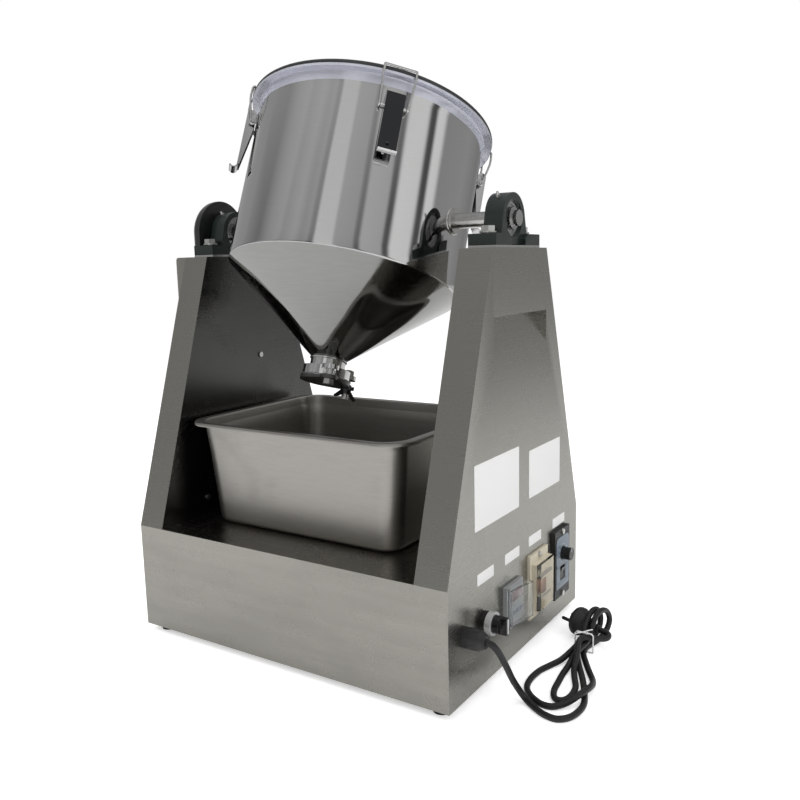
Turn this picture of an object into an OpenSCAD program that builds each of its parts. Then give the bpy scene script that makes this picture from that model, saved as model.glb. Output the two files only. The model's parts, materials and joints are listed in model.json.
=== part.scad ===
// Tilting powder mixer for the bench: a drum with a conical bottom hangs on two
// stub shafts between two sheet-metal towers, and turns end over end above a tray.
// The origin is on the floor below the middle of the frame; X runs along the shaft,
// Y runs to the back, Z runs up.

/* [Frame] */
// Width over both side covers
frame_w = 510; // [490:5:560]
// Depth of the base from front to back
frame_d = 395; // [370:5:450]
// Height of the base box
base_h = 150; // [140:5:180]
// Height of the towers above the lower edge of the sheet metal
tower_h = 531; // [525:1:560]
// Thickness of each tower from its inner wall to the outside of its cover
tower_t = 45; // [44:1:50]
// Depth of a tower at its top
tower_top_d = 158; // [150:2:180]
// Thickness of the sheet metal
sheet_t = 1.5; // [1.2:0.1:2]
// Diameter of a rubber foot
foot_d = 22; // [18:1:30]
// Height of a rubber foot
foot_h = 10; // [8:1:15]
// Distance of a foot's centre from the two nearest edges
foot_inset = 22; // [20:1:30]

/* [Drum] */
// Outer diameter of the drum
drum_d = 318; // [300:2:324]
// Wall of the drum
drum_wall = 1.5; // [1.2:0.1:2]
// Height of the cylinder above the shaft line
drum_up = 135; // [125:1:145]
// Height of the cylinder below the shaft line
drum_down = 84; // [80:1:95]
// Height of the cone
cone_h = 108; // [95:1:112]
// Width of the flared rim outside the drum wall
rim_flare = 12; // [10:0.5:13]
// Height of the flared rim
rim_h = 7; // [5:0.5:8]
// Outer diameter of the neck below the cone
neck_d = 48; // [44:1:52]
// Length of the neck between the cone and the flange
neck_h = 14; // [12:1:18]
// Diameter of the outlet flange
flange_d = 65; // [62:1:70]
// Thickness of the outlet flange
flange_t = 12; // [10:1:14]
// Lean of the parked drum, its lid towards the back
drum_lean = 21; // [0:1:30]

/* [Lid] */
// Diameter of the lid over its rolled edge
lid_d = 343; // [341:1:346]
// Height of the lid's rolled edge
lid_edge_h = 9; // [8:0.5:11]
// Thickness of the lid gasket
gasket_t = 2; // [1.5:0.5:3]
// Height that the lid lifts before it is taken away
lid_lift = 30; // [20:5:40]
// Length of the lid's handle over its feet
handle_w = 110; // [90:5:140]
// Height of the lid's handle
handle_h = 34; // [30:1:40]
// Diameter of the handle's rod
handle_rod = 8; // [6:1:10]

/* [Latches] */
// Length of a latch lever from its pivot to its curled lip
lever_l = 74; // [60:1:78]
// Width of a latch lever
lever_w = 24; // [22:1:28]
// Diameter of a bail's wire
bail_wire = 3; // [2.5:0.5:3.5]
// Distance of a lever's pivot from the drum wall
pivot_out = 8; // [7:0.5:10]
// Distance from the lever's pivot down to the bail's eye
bail_drop = 13; // [11:1:15]

/* [Bearings and shaft] */
// Diameter of the stub shafts
shaft_d = 20; // [18:1:20]
// Length of a bearing block's foot
block_l = 127; // [120:1:130]
// Width of a bearing block's foot
block_w = 38; // [34:1:40]
// Thickness of a bearing block's foot
block_foot_h = 14; // [12:1:15]
// Height of the shaft above the foot of the bearing block
block_axis_h = 33.3; // [31:0.1:35]
// Width of the bearing block's head
head_w = 25.5; // [24:0.5:28]
// Outer diameter of the bearing block's head
head_d = 63; // [60:1:64]
// Diameter of the bearing
bearing_d = 47; // [44:1:50]
// Width of the bearing's outer ring
bearing_w = 17; // [15:1:18]
// Distance between the bolts of a block
block_bolts = 95; // [90:1:97]
// Thickness of the packing plate under a bearing block
packing_t = 3; // [2:0.5:4]

/* [Drive] */
// Outer diameter of the pulley on the drum's shaft
drum_pulley_d = 66; // [60:1:68]
// Outer diameter of the pulley on the gearbox
motor_pulley_d = 44; // [40:1:50]
// Width of both pulleys
pulley_w = 12; // [11.5:0.5:12]
// Depth of the drive cover on the left side
cover_t = 20; // [20:0.5:24]
// Radius of the round guard over the drum's pulley
guard_r = 49; // [48:1:52]
// Radius of the guard's rounded outer edge
guard_round = 17; // [12:1:18]
// Height of the gearbox shaft above the floor
motor_z = 88; // [84:1:95]
// Diameter of the motor
motor_d = 80; // [70:2:90]
// Length of the motor
motor_l = 118; // [100:2:130]

/* [Tray] */
// Width of the tray over its rim
tray_w = 366; // [330:1:380]
// Depth of the tray over its rim
tray_d = 288; // [260:1:300]
// Height of the tray
tray_h = 150; // [140:1:150]
// Wall of the tray
tray_wall = 1.2; // [1:0.1:1.5]
// Width of the tray's rim
tray_rim = 13; // [10:1:15]
// Inward lean of the tray's walls from top to bottom
tray_taper = 14; // [10:1:20]
// Radius of the tray's upright corners at the top
tray_r = 46; // [40:1:55]
// Rounding between the tray's floor and walls
tray_floor_r = 10; // [8:1:16]

/* [Controls] */
// Diameter of the selector's chrome ring
selector_d = 29; // [27:0.5:30]
// Side of the timer's square front
timer_w = 50; // [48:1:54]
// Width of the relay's housing
relay_w = 54; // [50:1:58]
// Height of the relay's housing
relay_h = 65; // [60:1:70]
// Width of the speed controller
control_w = 54; // [50:1:56]
// Height of the speed controller
control_h = 101; // [95:1:105]
// Diameter of the speed knob
speed_knob_d = 20; // [18:1:22]
// Diameter of the power cord
cord_d = 7; // [6:0.5:7]

/* [Hidden] */

// One overrun serves all cuts, one small gap serves all fits.
over = 1;
fit = 0.05;
clear = 0.3;

// Heights measured from the floor
metal_z = foot_h;
base_z = metal_z + base_h;
top_z = metal_z + tower_h;
axis_z = top_z + packing_t + block_axis_h;
half_w = frame_w / 2;
half_d = frame_d / 2;
half_top = tower_top_d / 2;
inner_x = half_w - tower_t;
block_x = half_w - tower_t / 2;
lean_d = half_d - half_top;
lean_l = top_z - base_z;
lean_angle = atan(lean_d / lean_l);

// Drum, measured along its own axis from the shaft line
drum_r = drum_d / 2;
neck_r = neck_d / 2;
flange_r = flange_d / 2;
lid_r = lid_d / 2;
rim_r = drum_r + rim_flare;
rim_top = drum_up + rim_h;
cone_z = -drum_down - cone_h;
flange_z = cone_z - neck_h;
outlet_z = flange_z - flange_t;
gate_t = 5;
gate_seal_t = 1.5;
gate_top = outlet_z - clear - gate_seal_t;
cone_wall_out = drum_wall / cos(atan((drum_r - neck_r) / cone_h));

// The drum's pieces are built upright about the shaft line and leaned here.
module leaned() {
    translate([0, 0, axis_z])
        rotate([-drum_lean, 0, 0])
            children();
}

// A cylinder along X from x0 with length l
module along_x(r, x0, l) {
    translate([x0, 0, 0])
        rotate([0, 90, 0])
            cylinder(r = r, h = l, $fn = 96);
}

// House-shaped outline of a side, y across and z up, drawn in by a margin
function house(m) = [
    [-half_d + m, metal_z],
    [half_d - m, metal_z],
    [half_d - m, base_z - m * tan(lean_angle / 2)],
    [half_top - m * tan(45 - lean_angle / 2), top_z - m],
    [-half_top + m * tan(45 - lean_angle / 2), top_z - m],
    [-half_d + m, base_z - m * tan(lean_angle / 2)]
];

// Outline of a tower above the deck, drawn in by a margin
function tower_outline(m) = [
    [-half_d + m / cos(lean_angle), base_z],
    [half_d - m / cos(lean_angle), base_z],
    [half_top - m * tan(45 - lean_angle / 2), top_z - m],
    [-half_top + m * tan(45 - lean_angle / 2), top_z - m]
];

// Turns an outline in y and z into a plate from x0 with thickness t
module plate_x(x0, t) {
    translate([x0, 0, 0])
        rotate([90, 0, 90])
            linear_extrude(t)
                children();
}

// The base: front, deck and back folded from one sheet, open below and at its ends
module base_shell() {
    color([0.50, 0.49, 0.45])
        difference() {
            translate([-half_w + sheet_t, -half_d, metal_z])
                cube([frame_w - 2 * sheet_t, frame_d, base_h]);
            translate([-half_w, -half_d + sheet_t, metal_z - over])
                cube([frame_w, frame_d - 2 * sheet_t, base_h - sheet_t + over]);
            for (y = [-cable_hole_y, cable_hole_y])
                translate([block_x, y, base_z - over - sheet_t])
                    cylinder(d = cable_hole_d, h = sheet_t + 2 * over, $fn = 48);
        }
}
cable_hole_y = 60;
cable_hole_d = 24;

// A tower: two sloping walls, a top and an inner wall, open at its outer side
module tower(side) {
    color([0.46, 0.45, 0.42])
        mirror([side < 0 ? 1 : 0, 0, 0])
            difference() {
                plate_x(inner_x, tower_t - sheet_t)
                    polygon(tower_outline(0));
                plate_x(inner_x + sheet_t, tower_t)
                    polygon(tower_outline(sheet_t));
                for (y = [-block_bolts / 2, block_bolts / 2])
                    translate([block_x, y, top_z - sheet_t - over])
                        cylinder(d = bolt_d + 2 * clear, h = sheet_t + 2 * over, $fn = 32);
                screw_holes(inner_x, wall_screws);
            }
}
module left_tower() {
    tower(-1);
}
module right_tower() {
    tower(1);
}

// Side covers close the towers and the ends of the base.
module side_plate(side) {
    plate_x(side > 0 ? half_w - sheet_t : -half_w, sheet_t)
        polygon(house(0));
}
drive_hole_d = 40;
module left_side_cover() {
    color([0.52, 0.52, 0.49])
        difference() {
            side_plate(-1);
            translate([0, 0, motor_z])
                along_x(drive_hole_d / 2, -half_w - over, sheet_t + 2 * over);
        }
}

// A hand recess is pressed into the right cover, deepest at its top.
recess_w = 160;
recess_h = 42;
recess_depth = 16;
recess_down = 80;
recess_back = 4;
recess_z = top_z - recess_down;
recess_slope = (recess_h - sheet_t - recess_back) / recess_depth;
module recess_wedge(wall) {
    side = sheet_t - wall;
    deep = recess_depth + wall;
    drop = wall * sqrt(1 + recess_slope * recess_slope);
    translate([half_w, recess_w / 2 - side, recess_z - recess_h])
        rotate([90, 0, 0])
            linear_extrude(recess_w - 2 * side)
                polygon([
                    [over, -drop - over * recess_slope],
                    [over, recess_h - side],
                    [-deep, recess_h - side],
                    [-deep, -drop + deep * recess_slope]
                ]);
}
module right_side_cover() {
    color([0.53, 0.54, 0.51])
        difference() {
            union() {
                side_plate(1);
                intersection() {
                    recess_wedge(sheet_t);
                    translate([inner_x, -half_d, base_z])
                        cube([tower_t, frame_d, lean_l]);
                }
            }
            recess_wedge(0);
            translate([0, selector_y, controls_z])
                along_x(selector_hole_d / 2, half_w - sheet_t - over, sheet_t + 2 * over);
            translate([0, gland_y, gland_z])
                along_x(gland_thread_d / 2 + clear, half_w - sheet_t - over, sheet_t + 2 * over);
            translate([half_w - sheet_t - over, timer_y - timer_hole / 2, timer_z - timer_hole / 2])
                cube([sheet_t + 2 * over, timer_hole, timer_hole]);
            translate([half_w - sheet_t - over, control_y - control_hole_w / 2,
                control_z - control_hole_h / 2])
                cube([sheet_t + 2 * over, control_hole_w, control_hole_h]);
            screw_holes(half_w - sheet_t, panel_places);
        }
}

// Bottom plate and feet
module bottom_plate() {
    color([0.55, 0.55, 0.53])
        difference() {
            translate([-half_w + sheet_t + clear, -half_d + sheet_t + clear, metal_z])
                cube([frame_w - 2 * (sheet_t + clear), frame_d - 2 * (sheet_t + clear), sheet_t]);
            for (x = [-1, 1], y = [-1, 1])
                translate([x * (half_w - foot_inset), y * (half_d - foot_inset), metal_z - over])
                    cylinder(d = foot_screw_d, h = sheet_t + 2 * over, $fn = 32);
            for (k = [-vent_count:vent_count])
                translate([k * vent_pitch - vent_w / 2, -vent_l / 2, metal_z - over])
                    cube([vent_w, vent_l, sheet_t + 2 * over]);
        }
}
foot_screw_d = 5;
foot_screw_h = 5;
vent_count = 3;
vent_pitch = 16;
vent_w = 4;
vent_l = 80;
module feet() {
    color([0.06, 0.06, 0.06])
        for (x = [-1, 1], y = [-1, 1])
            translate([x * (half_w - foot_inset), y * (half_d - foot_inset), 0]) {
                rotate_extrude($fn = 48)
                    polygon([
                        [0, 0],
                        [foot_d / 2, 0],
                        [foot_d / 2, foot_h / 2],
                        [foot_d / 2 - foot_draft, foot_h],
                        [0, foot_h]
                    ]);
                translate([0, 0, foot_h])
                    cylinder(d = foot_screw_d - 2 * fit, h = foot_screw_h, $fn = 32);
            }
}
foot_draft = 2;

// Drive cover: a shallow box on the left side over the belt, open towards the frame
cover_x = -half_w - cover_t;
cover_round = 5;
cover_up = 12;
cover_bottom = metal_z + cover_up;
module drive_cover() {
    color([0.50, 0.50, 0.47])
        difference() {
            translate([0, half_top, 0])
                rotate([90, 0, 0])
                    linear_extrude(tower_top_d)
                        cover_outline(0);
            translate([0, half_top - sheet_t, 0])
                rotate([90, 0, 0])
                    linear_extrude(tower_top_d - 2 * sheet_t)
                        cover_outline(sheet_t);
            translate([belt_x - belt_slot_w / 2, -belt_slot_l / 2, top_z - over - sheet_t])
                cube([belt_slot_w, belt_slot_l, sheet_t + 2 * over]);
        }
}
module cover_outline(m) {
    difference() {
        union() {
            translate([cover_x + m, cover_bottom + m])
                square([cover_t - m + (m > 0 ? over : 0), top_z - cover_bottom - cover_round - m]);
            translate([cover_x + cover_round, top_z - cover_round - over])
                square([cover_t - cover_round + (m > 0 ? over : 0), cover_round + over - m]);
            translate([cover_x + cover_round, top_z - cover_round])
                circle(r = cover_round - m, $fn = 32);
        }
        if (m == 0)
            translate([-half_w, cover_bottom - over])
                square([over, tower_h]);
    }
}
belt_slot_w = 14;
belt_slot_l = 80;

// Round black guard over the drum's pulley, standing on the drive cover
guard_wall = 1.5;
guard_x0 = -half_w + sheet_t;
guard_x1 = cover_x;
function guard_edge(m) = concat(
    [[guard_x0 - m, guard_r - m]],
    [for (a = [0:15:90])
        [guard_x1 + guard_round - (guard_round - m) * sin(a),
         guard_r - guard_round + (guard_round - m) * cos(a)]]
);
function flipped(p) = [for (k = [len(p) - 1:-1:0]) [p[k][0], -p[k][1]]];
module guard_solid(m, low) {
    edge = guard_edge(m);
    translate([0, 0, axis_z])
        rotate([0, 90, 0])
            rotate([0, 0, 90])
                rotate_extrude(angle = 180, $fn = 96)
                    polygon(concat(
                        [[0, guard_x0 - m]],
                        [for (p = edge) [p[1], p[0]]],
                        [[0, guard_x1 + m]]
                    ));
    translate([0, 0, low])
        linear_extrude(axis_z - low)
            polygon(concat(edge, flipped(edge)));
}
module belt_guard() {
    color([0.05, 0.05, 0.05])
        difference() {
            guard_solid(0, top_z);
            guard_solid(guard_wall, top_z - over);
            translate([0, 0, axis_z])
                along_x(shaft_d / 2 + shaft_room, guard_x0 - guard_wall - over, guard_wall + 2 * over);
        }
}
shaft_room = 3;

// Bearing blocks: a cast foot with two pads, a round head and a sealed ball bearing
pad_gap = 40;
pad_l = (block_l - pad_gap) / 2;
block_z = top_z + packing_t;
pad_top = block_z + block_foot_h;
bolt_d = 10;
bolt_head_d = 18.5;
bolt_head_h = 6.5;
washer_d = 21;
washer_t = 2;
slot_extra = 4;
module packing_plates() {
    color([0.55, 0.55, 0.53])
        for (s = [-1, 1])
            difference() {
                translate([s * block_x - block_w / 2, -block_l / 2, top_z])
                    cube([block_w, block_l, packing_t]);
                for (y = [-block_bolts / 2, block_bolts / 2])
                    translate([s * block_x, y, top_z - over])
                        cylinder(d = bolt_d + 2 * clear, h = packing_t + 2 * over, $fn = 32);
            }
}
module block_head() {
    difference() {
        union() {
            circle(d = head_d, $fn = 96);
            polygon([
                [-head_d / 2 * cos(head_tangent), head_d / 2 * sin(head_tangent)],
                [head_d / 2 * cos(head_tangent), head_d / 2 * sin(head_tangent)],
                [web_half, -block_axis_h + block_foot_h],
                [web_half, -block_axis_h + foot_relief],
                [-web_half, -block_axis_h + foot_relief],
                [-web_half, -block_axis_h + block_foot_h]
            ]);
        }
        circle(d = bearing_d + 2 * fit, $fn = 96);
        translate([-head_d, -block_axis_h - head_d])
            square([2 * head_d, head_d + foot_relief]);
    }
}
head_tangent = 8;
web_half = 37;
foot_relief = 1;
module bearing_housing() {
    difference() {
        union() {
            translate([0, 0, axis_z])
                plate_x(-head_w / 2, head_w)
                    block_head();
            for (s = [-1, 1])
                translate([-block_w / 2, s > 0 ? pad_gap / 2 : -block_l / 2, block_z])
                    cube([block_w, pad_l, block_foot_h]);
            for (s = [-1, 1])
                translate([0, s * (pad_gap / 2 + pad_l / 2), pad_top])
                    cylinder(d = pad_boss_d, h = pad_boss_h, $fn = 48);
        }
        for (s = [-1, 1], k = [-slot_extra / 2, slot_extra / 2])
            translate([0, s * block_bolts / 2 + k, block_z - over])
                cylinder(d = bolt_d + slot_room, h = block_foot_h + 2 * over + pad_boss_h, $fn = 48);
        for (s = [-1, 1])
            translate([-(bolt_d + slot_room) / 2, s * block_bolts / 2 - slot_extra / 2, block_z - over])
                cube([bolt_d + slot_room, slot_extra, block_foot_h + 2 * over + pad_boss_h]);
        translate([0, 0, axis_z])
            along_x(head_d / 2 + over, head_w / 2, 2 * block_w);
        translate([0, 0, axis_z])
            along_x(head_d / 2 + over, -head_w / 2 - 2 * block_w, 2 * block_w);
    }
}
pad_boss_d = 24;
pad_boss_h = 1;
slot_room = 3;
module bearing_housings() {
    color([0.11, 0.15, 0.14])
        for (s = [-1, 1])
            translate([s * block_x, 0, 0])
                bearing_housing();
}
inner_ring_d = 28;
inner_ring_in = 18.3;
inner_ring_out = 12.7;
seal_r = 19.5;
seal_depth = 1.5;
module bearing_outer_rings() {
    color([0.30, 0.30, 0.29])
        for (s = [-1, 1])
            translate([s * block_x, 0, axis_z])
                rotate([0, 90, 0])
                    rotate_extrude($fn = 96)
                        polygon([
                            [inner_ring_d / 2 + clear, -bearing_w / 2 + seal_depth],
                            [seal_r, -bearing_w / 2 + seal_depth],
                            [seal_r, -bearing_w / 2],
                            [bearing_d / 2, -bearing_w / 2],
                            [bearing_d / 2, bearing_w / 2],
                            [seal_r, bearing_w / 2],
                            [seal_r, bearing_w / 2 - seal_depth],
                            [inner_ring_d / 2 + clear, bearing_w / 2 - seal_depth]
                        ]);
}
module bearing_inner_rings() {
    color([0.70, 0.70, 0.70])
        for (s = [-1, 1])
            translate([0, 0, axis_z])
                difference() {
                    along_x(inner_ring_d / 2,
                        s > 0 ? block_x - inner_ring_in : -block_x - inner_ring_out,
                        inner_ring_in + inner_ring_out);
                    along_x(shaft_d / 2 + fit, s > 0 ? inner_x - head_w : -half_w - head_w,
                        tower_t + 2 * head_w);
                }
}
module bearing_bolts() {
    color([0.78, 0.78, 0.76])
        for (s = [-1, 1], y = [-block_bolts / 2, block_bolts / 2])
            translate([s * block_x, y, 0]) {
                translate([0, 0, pad_top + pad_boss_h])
                    cylinder(d = washer_d, h = washer_t, $fn = 48);
                translate([0, 0, pad_top + pad_boss_h + washer_t])
                    cylinder(d = bolt_head_d, h = bolt_head_h, $fn = 6);
                translate([0, 0, top_z - sheet_t - bolt_end])
                    cylinder(d = bolt_d, h = pad_top + pad_boss_h + over + bolt_end - top_z + sheet_t,
                        $fn = 32);
                translate([0, 0, top_z - sheet_t - washer_t])
                    cylinder(d = washer_d, h = washer_t, $fn = 48);
                translate([0, 0, top_z - sheet_t - washer_t - bolt_head_h])
                    cylinder(d = bolt_head_d, h = bolt_head_h, $fn = 6);
            }
}
bolt_end = 14;
nipple_lean = 35;
nipple_d = 6;
nipple_h = 7;
module grease_nipples() {
    color([0.80, 0.80, 0.78])
        for (s = [-1, 1])
            translate([s * block_x, 0, axis_z])
                rotate([nipple_lean, 0, 0])
                    translate([0, 0, head_d / 2]) {
                        cylinder(d = nipple_d, h = nipple_h / 2, $fn = 6);
                        cylinder(d1 = nipple_d * 0.8, d2 = nipple_d / 2, h = nipple_h, $fn = 32);
                    }
}

// Drive: worm gearbox and motor in the base, V-belt up the left side
belt_x = (guard_x0 - guard_wall + guard_x1 + guard_wall) / 2;
belt_w = 9;
belt_h = 6;
belt_sink = 0.5;
belt_side = 20;
hub_d = 36;
gearbox_w = 74;
gearbox_y = 70;
gearbox_h = 84;
gearbox_gap = 6;
gearbox_x = -half_w + sheet_t + gearbox_gap;
out_shaft_d = 14;
bracket_t = 4;
function belt_half(drop) = belt_w / 2 - drop * tan(belt_side);
module pulley(d, bore) {
    r = d / 2;
    low = belt_sink + belt_h + belt_h / 4;
    side = clear / cos(belt_side);
    rotate([0, 90, 0])
        rotate_extrude($fn = 96)
            polygon([
                [bore, -pulley_w / 2],
                [r, -pulley_w / 2],
                [r, -belt_half(-belt_sink) - side],
                [r - low, -belt_half(low - belt_sink) - side],
                [r - low, belt_half(low - belt_sink) + side],
                [r, belt_half(-belt_sink) + side],
                [r, pulley_w / 2],
                [bore, pulley_w / 2]
            ]);
}
module drum_pulley() {
    color([0.35, 0.35, 0.35])
        translate([belt_x, 0, axis_z])
            pulley(drum_pulley_d, shaft_d / 2 + fit);
}
module motor_pulley() {
    color([0.35, 0.35, 0.35])
        translate([belt_x, 0, motor_z])
            pulley(motor_pulley_d, out_shaft_d / 2 + fit);
}
arc_steps = 24;
belt_corners = [
    [0, belt_half(0)],
    [0, -belt_half(0)],
    [-belt_h, -belt_half(belt_h)],
    [-belt_h, belt_half(belt_h)]
];
function belt_arc(r, z, from, sweep) = [for (k = [0:arc_steps])
    let (u = from + sweep * k / arc_steps)
    [for (c = belt_corners) [belt_x + c[1], (r + c[0]) * cos(u), z + (r + c[0]) * sin(u)]]];
module drive_belt() {
    r1 = drum_pulley_d / 2 - belt_sink;
    r2 = motor_pulley_d / 2 - belt_sink;
    a = asin((r1 - r2) / (axis_z - motor_z));
    color([0.08, 0.08, 0.08])
        tube(
            concat(
                belt_arc(r1, axis_z, -a, 180 + 2 * a),
                belt_arc(r2, motor_z, 180 + a, 180 - 2 * a)
            ),
            loop = true
        );
}
module output_shaft() {
    color([0.70, 0.70, 0.70])
        translate([0, 0, motor_z])
            along_x(out_shaft_d / 2, belt_x - pulley_w / 2 - shaft_end, 
                gearbox_x - belt_x + pulley_w / 2 + shaft_end + gearbox_w);
}
shaft_end = 1.5;
module gearbox() {
    color([0.42, 0.44, 0.46])
        difference() {
            union() {
                translate([gearbox_x, -gearbox_y / 2, motor_z - gearbox_h / 2])
                    cube([gearbox_w, gearbox_y, gearbox_h]);
                translate([0, 0, motor_z])
                    along_x(hub_d / 2, gearbox_x - gearbox_gap + clear, gearbox_gap);
                translate([gearbox_x + gearbox_w / 2, gearbox_y / 2, motor_z])
                    rotate([-90, 0, 0])
                        cylinder(d = motor_d * 0.9, h = flange_plate, $fn = 64);
                translate([gearbox_x + gearbox_w / 2, -gearbox_y / 2, motor_z])
                    rotate([90, 0, 0])
                        cylinder(d = hub_d, h = flange_plate / 2, $fn = 48);
            }
            translate([0, 0, motor_z])
                along_x(out_shaft_d / 2 + fit, gearbox_x - 2 * gearbox_gap, 2 * gearbox_w);
        }
}
flange_plate = 6;
motor_end_h = 14;
module motor() {
    y0 = gearbox_y / 2 + flange_plate;
    color([0.20, 0.26, 0.30])
        translate([gearbox_x + gearbox_w / 2, y0, motor_z])
            rotate([-90, 0, 0]) {
                cylinder(d = motor_d, h = motor_end_h, $fn = 64);
                cylinder(d = motor_d - motor_end_h / 2, h = motor_l, $fn = 64);
                translate([0, 0, motor_l - motor_end_h])
                    cylinder(d = motor_d, h = motor_end_h, $fn = 64);
                for (k = [0:11])
                    rotate([0, 0, 30 * k])
                        translate([motor_d / 2 - motor_end_h / 2, -fin_t / 2, motor_end_h - over])
                            cube([motor_end_h / 2 - fin_t, fin_t, motor_l - 2 * motor_end_h + 2 * over]);
            }
}
fin_t = 2;
module motor_bracket() {
    base = metal_z + sheet_t;
    under = motor_z - gearbox_h / 2;
    color([0.48, 0.48, 0.46])
        difference() {
            union() {
                translate([gearbox_x, -gearbox_y / 2, base])
                    cube([gearbox_w, gearbox_y, bracket_t]);
                translate([gearbox_x, -gearbox_y / 2, under - bracket_t])
                    cube([gearbox_w, gearbox_y, bracket_t]);
                for (x = [gearbox_x, gearbox_x + gearbox_w - bracket_t])
                    translate([x, -gearbox_y / 2, base])
                        cube([bracket_t, gearbox_y, under - base]);
            }
            for (x = [-1, 1], y = [-1, 1])
                translate([gearbox_x + gearbox_w / 2 + x * gearbox_w / 3, y * gearbox_y / 3, base - over])
                    cylinder(d = foot_screw_d + 2 * clear, h = gearbox_h, $fn = 24);
        }
}
module terminal_block() {
    color([0.16, 0.16, 0.17])
        translate([terminal_x, terminal_y, metal_z + sheet_t])
            difference() {
                cube([terminal_w, terminal_l, terminal_h]);
                for (k = [0:terminal_n - 1])
                    translate([terminal_w / 2, (k + 0.5) * terminal_l / terminal_n, terminal_h / 2])
                        cylinder(d = terminal_w / 3, h = terminal_h, $fn = 24);
            }
}
terminal_x = 40;
terminal_y = -60;
terminal_w = 24;
terminal_l = 90;
terminal_h = 20;
terminal_n = 8;
module capacitor() {
    color([0.75, 0.76, 0.76])
        translate([-half_w + capacitor_in, -capacitor_y, metal_z + sheet_t])
            cylinder(d = capacitor_d, h = capacitor_h, $fn = 48);
}
capacitor_in = 60;
capacitor_y = 110;
capacitor_d = 35;
capacitor_h = 62;

// Drum shell: flared rim, cylinder and cone as one turned profile
cone_rate = (drum_r - neck_r) / cone_h;
cone_in_z = -drum_down - (cone_wall_out - drum_wall) / cone_rate;
module drum_shell() {
    color([0.75, 0.76, 0.76])
        leaned()
            rotate_extrude($fn = 128)
                polygon(concat(
                    [[neck_r, cone_z], [drum_r, -drum_down]],
                    [for (a = [0:18:90])
                        [rim_r - rim_flare * cos(a), drum_up + (rim_h - drum_wall) * sin(a)]],
                    [[rim_r, seat_z], [drum_r - drum_wall, seat_z]],
                    [[drum_r - drum_wall, cone_in_z], [neck_r - cone_wall_out, cone_z]]
                ));
}
seat_z = drum_up + rim_h;

// Stub shafts are cut to the drum's wall and carry a collar that is welded to it.
collar_d = 32;
collar_t = 4;
shaft_tip = 1.5;
module drum_cylinder(r) {
    leaned()
        translate([0, 0, -drum_down])
            cylinder(r = r, h = drum_up + drum_down, $fn = 128);
}
module stub(side, r, x0, l) {
    difference() {
        translate([0, 0, axis_z])
            along_x(r, side > 0 ? x0 : -x0 - l, l);
        drum_cylinder(drum_r);
    }
}
module stub_shafts() {
    root = drum_r - shaft_d;
    color([0.72, 0.72, 0.71]) {
        stub(-1, shaft_d / 2, root, -belt_x + pulley_w / 2 + shaft_tip - root);
        stub(1, shaft_d / 2, root, block_x + inner_ring_out + shaft_past - root);
    }
}
shaft_past = 7;
module trunnion_collars() {
    color([0.66, 0.66, 0.65])
        for (s = [-1, 1])
            difference() {
                stub(s, collar_d / 2, drum_r - shaft_d, shaft_d + collar_t);
                translate([0, 0, axis_z])
                    along_x(shaft_d / 2 + fit, -half_w, frame_w);
            }
}

// Latches. Each stands in its own upright frame: X outwards, Z along the drum's axis.
latch_turn = 45;
latch_names = ["front", "right", "rear", "left"];
module at_latch(k) {
    leaned()
        rotate([0, 0, -latch_turn + 90 * k])
            children();
}
bead_r = lid_edge_h / 2;
bead_x = lid_r - bead_r;
bead_z = seat_z + clear + bead_r;
pivot_x = drum_r + pivot_out;
pivot_drop = 26;
pivot_z = seat_z - pivot_drop;
pin_d = 4;
lever_t = 1.5;
lever_front = 6.5;
lever_in = pivot_out - 1.5;
ear_y = 6.5;
ear_t = 2;
bail_in = 2.5;
eye_x = pivot_x - bail_in;
eye_z = pivot_z - bail_drop;
eye_y = 18;
bail_spread = 20.5;
hook_angle = 50;
hook_gap = bead_r + bail_wire / 2 + clear;
leg_x = bead_x + hook_gap;
module pin_y(x, z, r, l) {
    translate([x, l / 2, z])
        rotate([90, 0, 0])
            cylinder(r = r, h = l, $fn = 48);
}
module latch_brackets() {
    x0 = drum_r + fit;
    color([0.70, 0.70, 0.69])
        for (k = [0:3])
            at_latch(k) {
                translate([x0, -ear_y - bracket_side, pivot_z - bracket_low])
                    cube([bracket_sheet, 2 * (ear_y + bracket_side), bracket_low + bracket_up]);
                for (s = [-1, 1])
                    translate([0, s * ear_y, 0]) {
                        translate([x0, -ear_t / 2, pivot_z - ear_half])
                            cube([pivot_x - x0, ear_t, 2 * ear_half]);
                        pin_y(pivot_x, pivot_z, ear_half, ear_t);
                    }
                pin_y(pivot_x, pivot_z, pin_d / 2, lever_w + 2 * clear);
            }
}
bracket_sheet = 1;
bracket_side = 2.5;
bracket_low = 22;
bracket_up = 6;
ear_half = 3.5;

// Side outline of a lever's flange, x out and z up
function flange_points() = [
    [pivot_x + lever_front - lever_t, pivot_z + lever_top],
    [pivot_x + lever_front - lever_t, pivot_z - lever_l],
    [pivot_x + lever_front - lever_tip, pivot_z - lever_l],
    [eye_x - eye_rim, eye_z - eye_rim],
    [pivot_x - lever_in + 1, pivot_z]
];
lever_top = 1;
lever_tip = 3;
eye_rim = 3.5;
lip_r = 6;
module lever_flange() {
    rotate([90, 0, 0])
        linear_extrude(lever_t)
            difference() {
                union() {
                    polygon(flange_points());
                    translate([pivot_x, pivot_z])
                        circle(r = lever_in - 1, $fn = 48);
                }
                translate([pivot_x, pivot_z])
                    circle(r = pin_d / 2 + fit, $fn = 48);
            }
}
lip_turn = 150;
ring_hole_d = 4.5;
ring_hole_up = 8;
function lip_arc(r) = [for (a = [0:15:lip_turn])
    [plate_back + lip_r - r * cos(a), pivot_z - lever_l - r * sin(a)]];
function turned_back(p) = [for (k = [len(p) - 1:-1:0]) p[k]];
plate_back = pivot_x + lever_front - lever_t;
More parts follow.
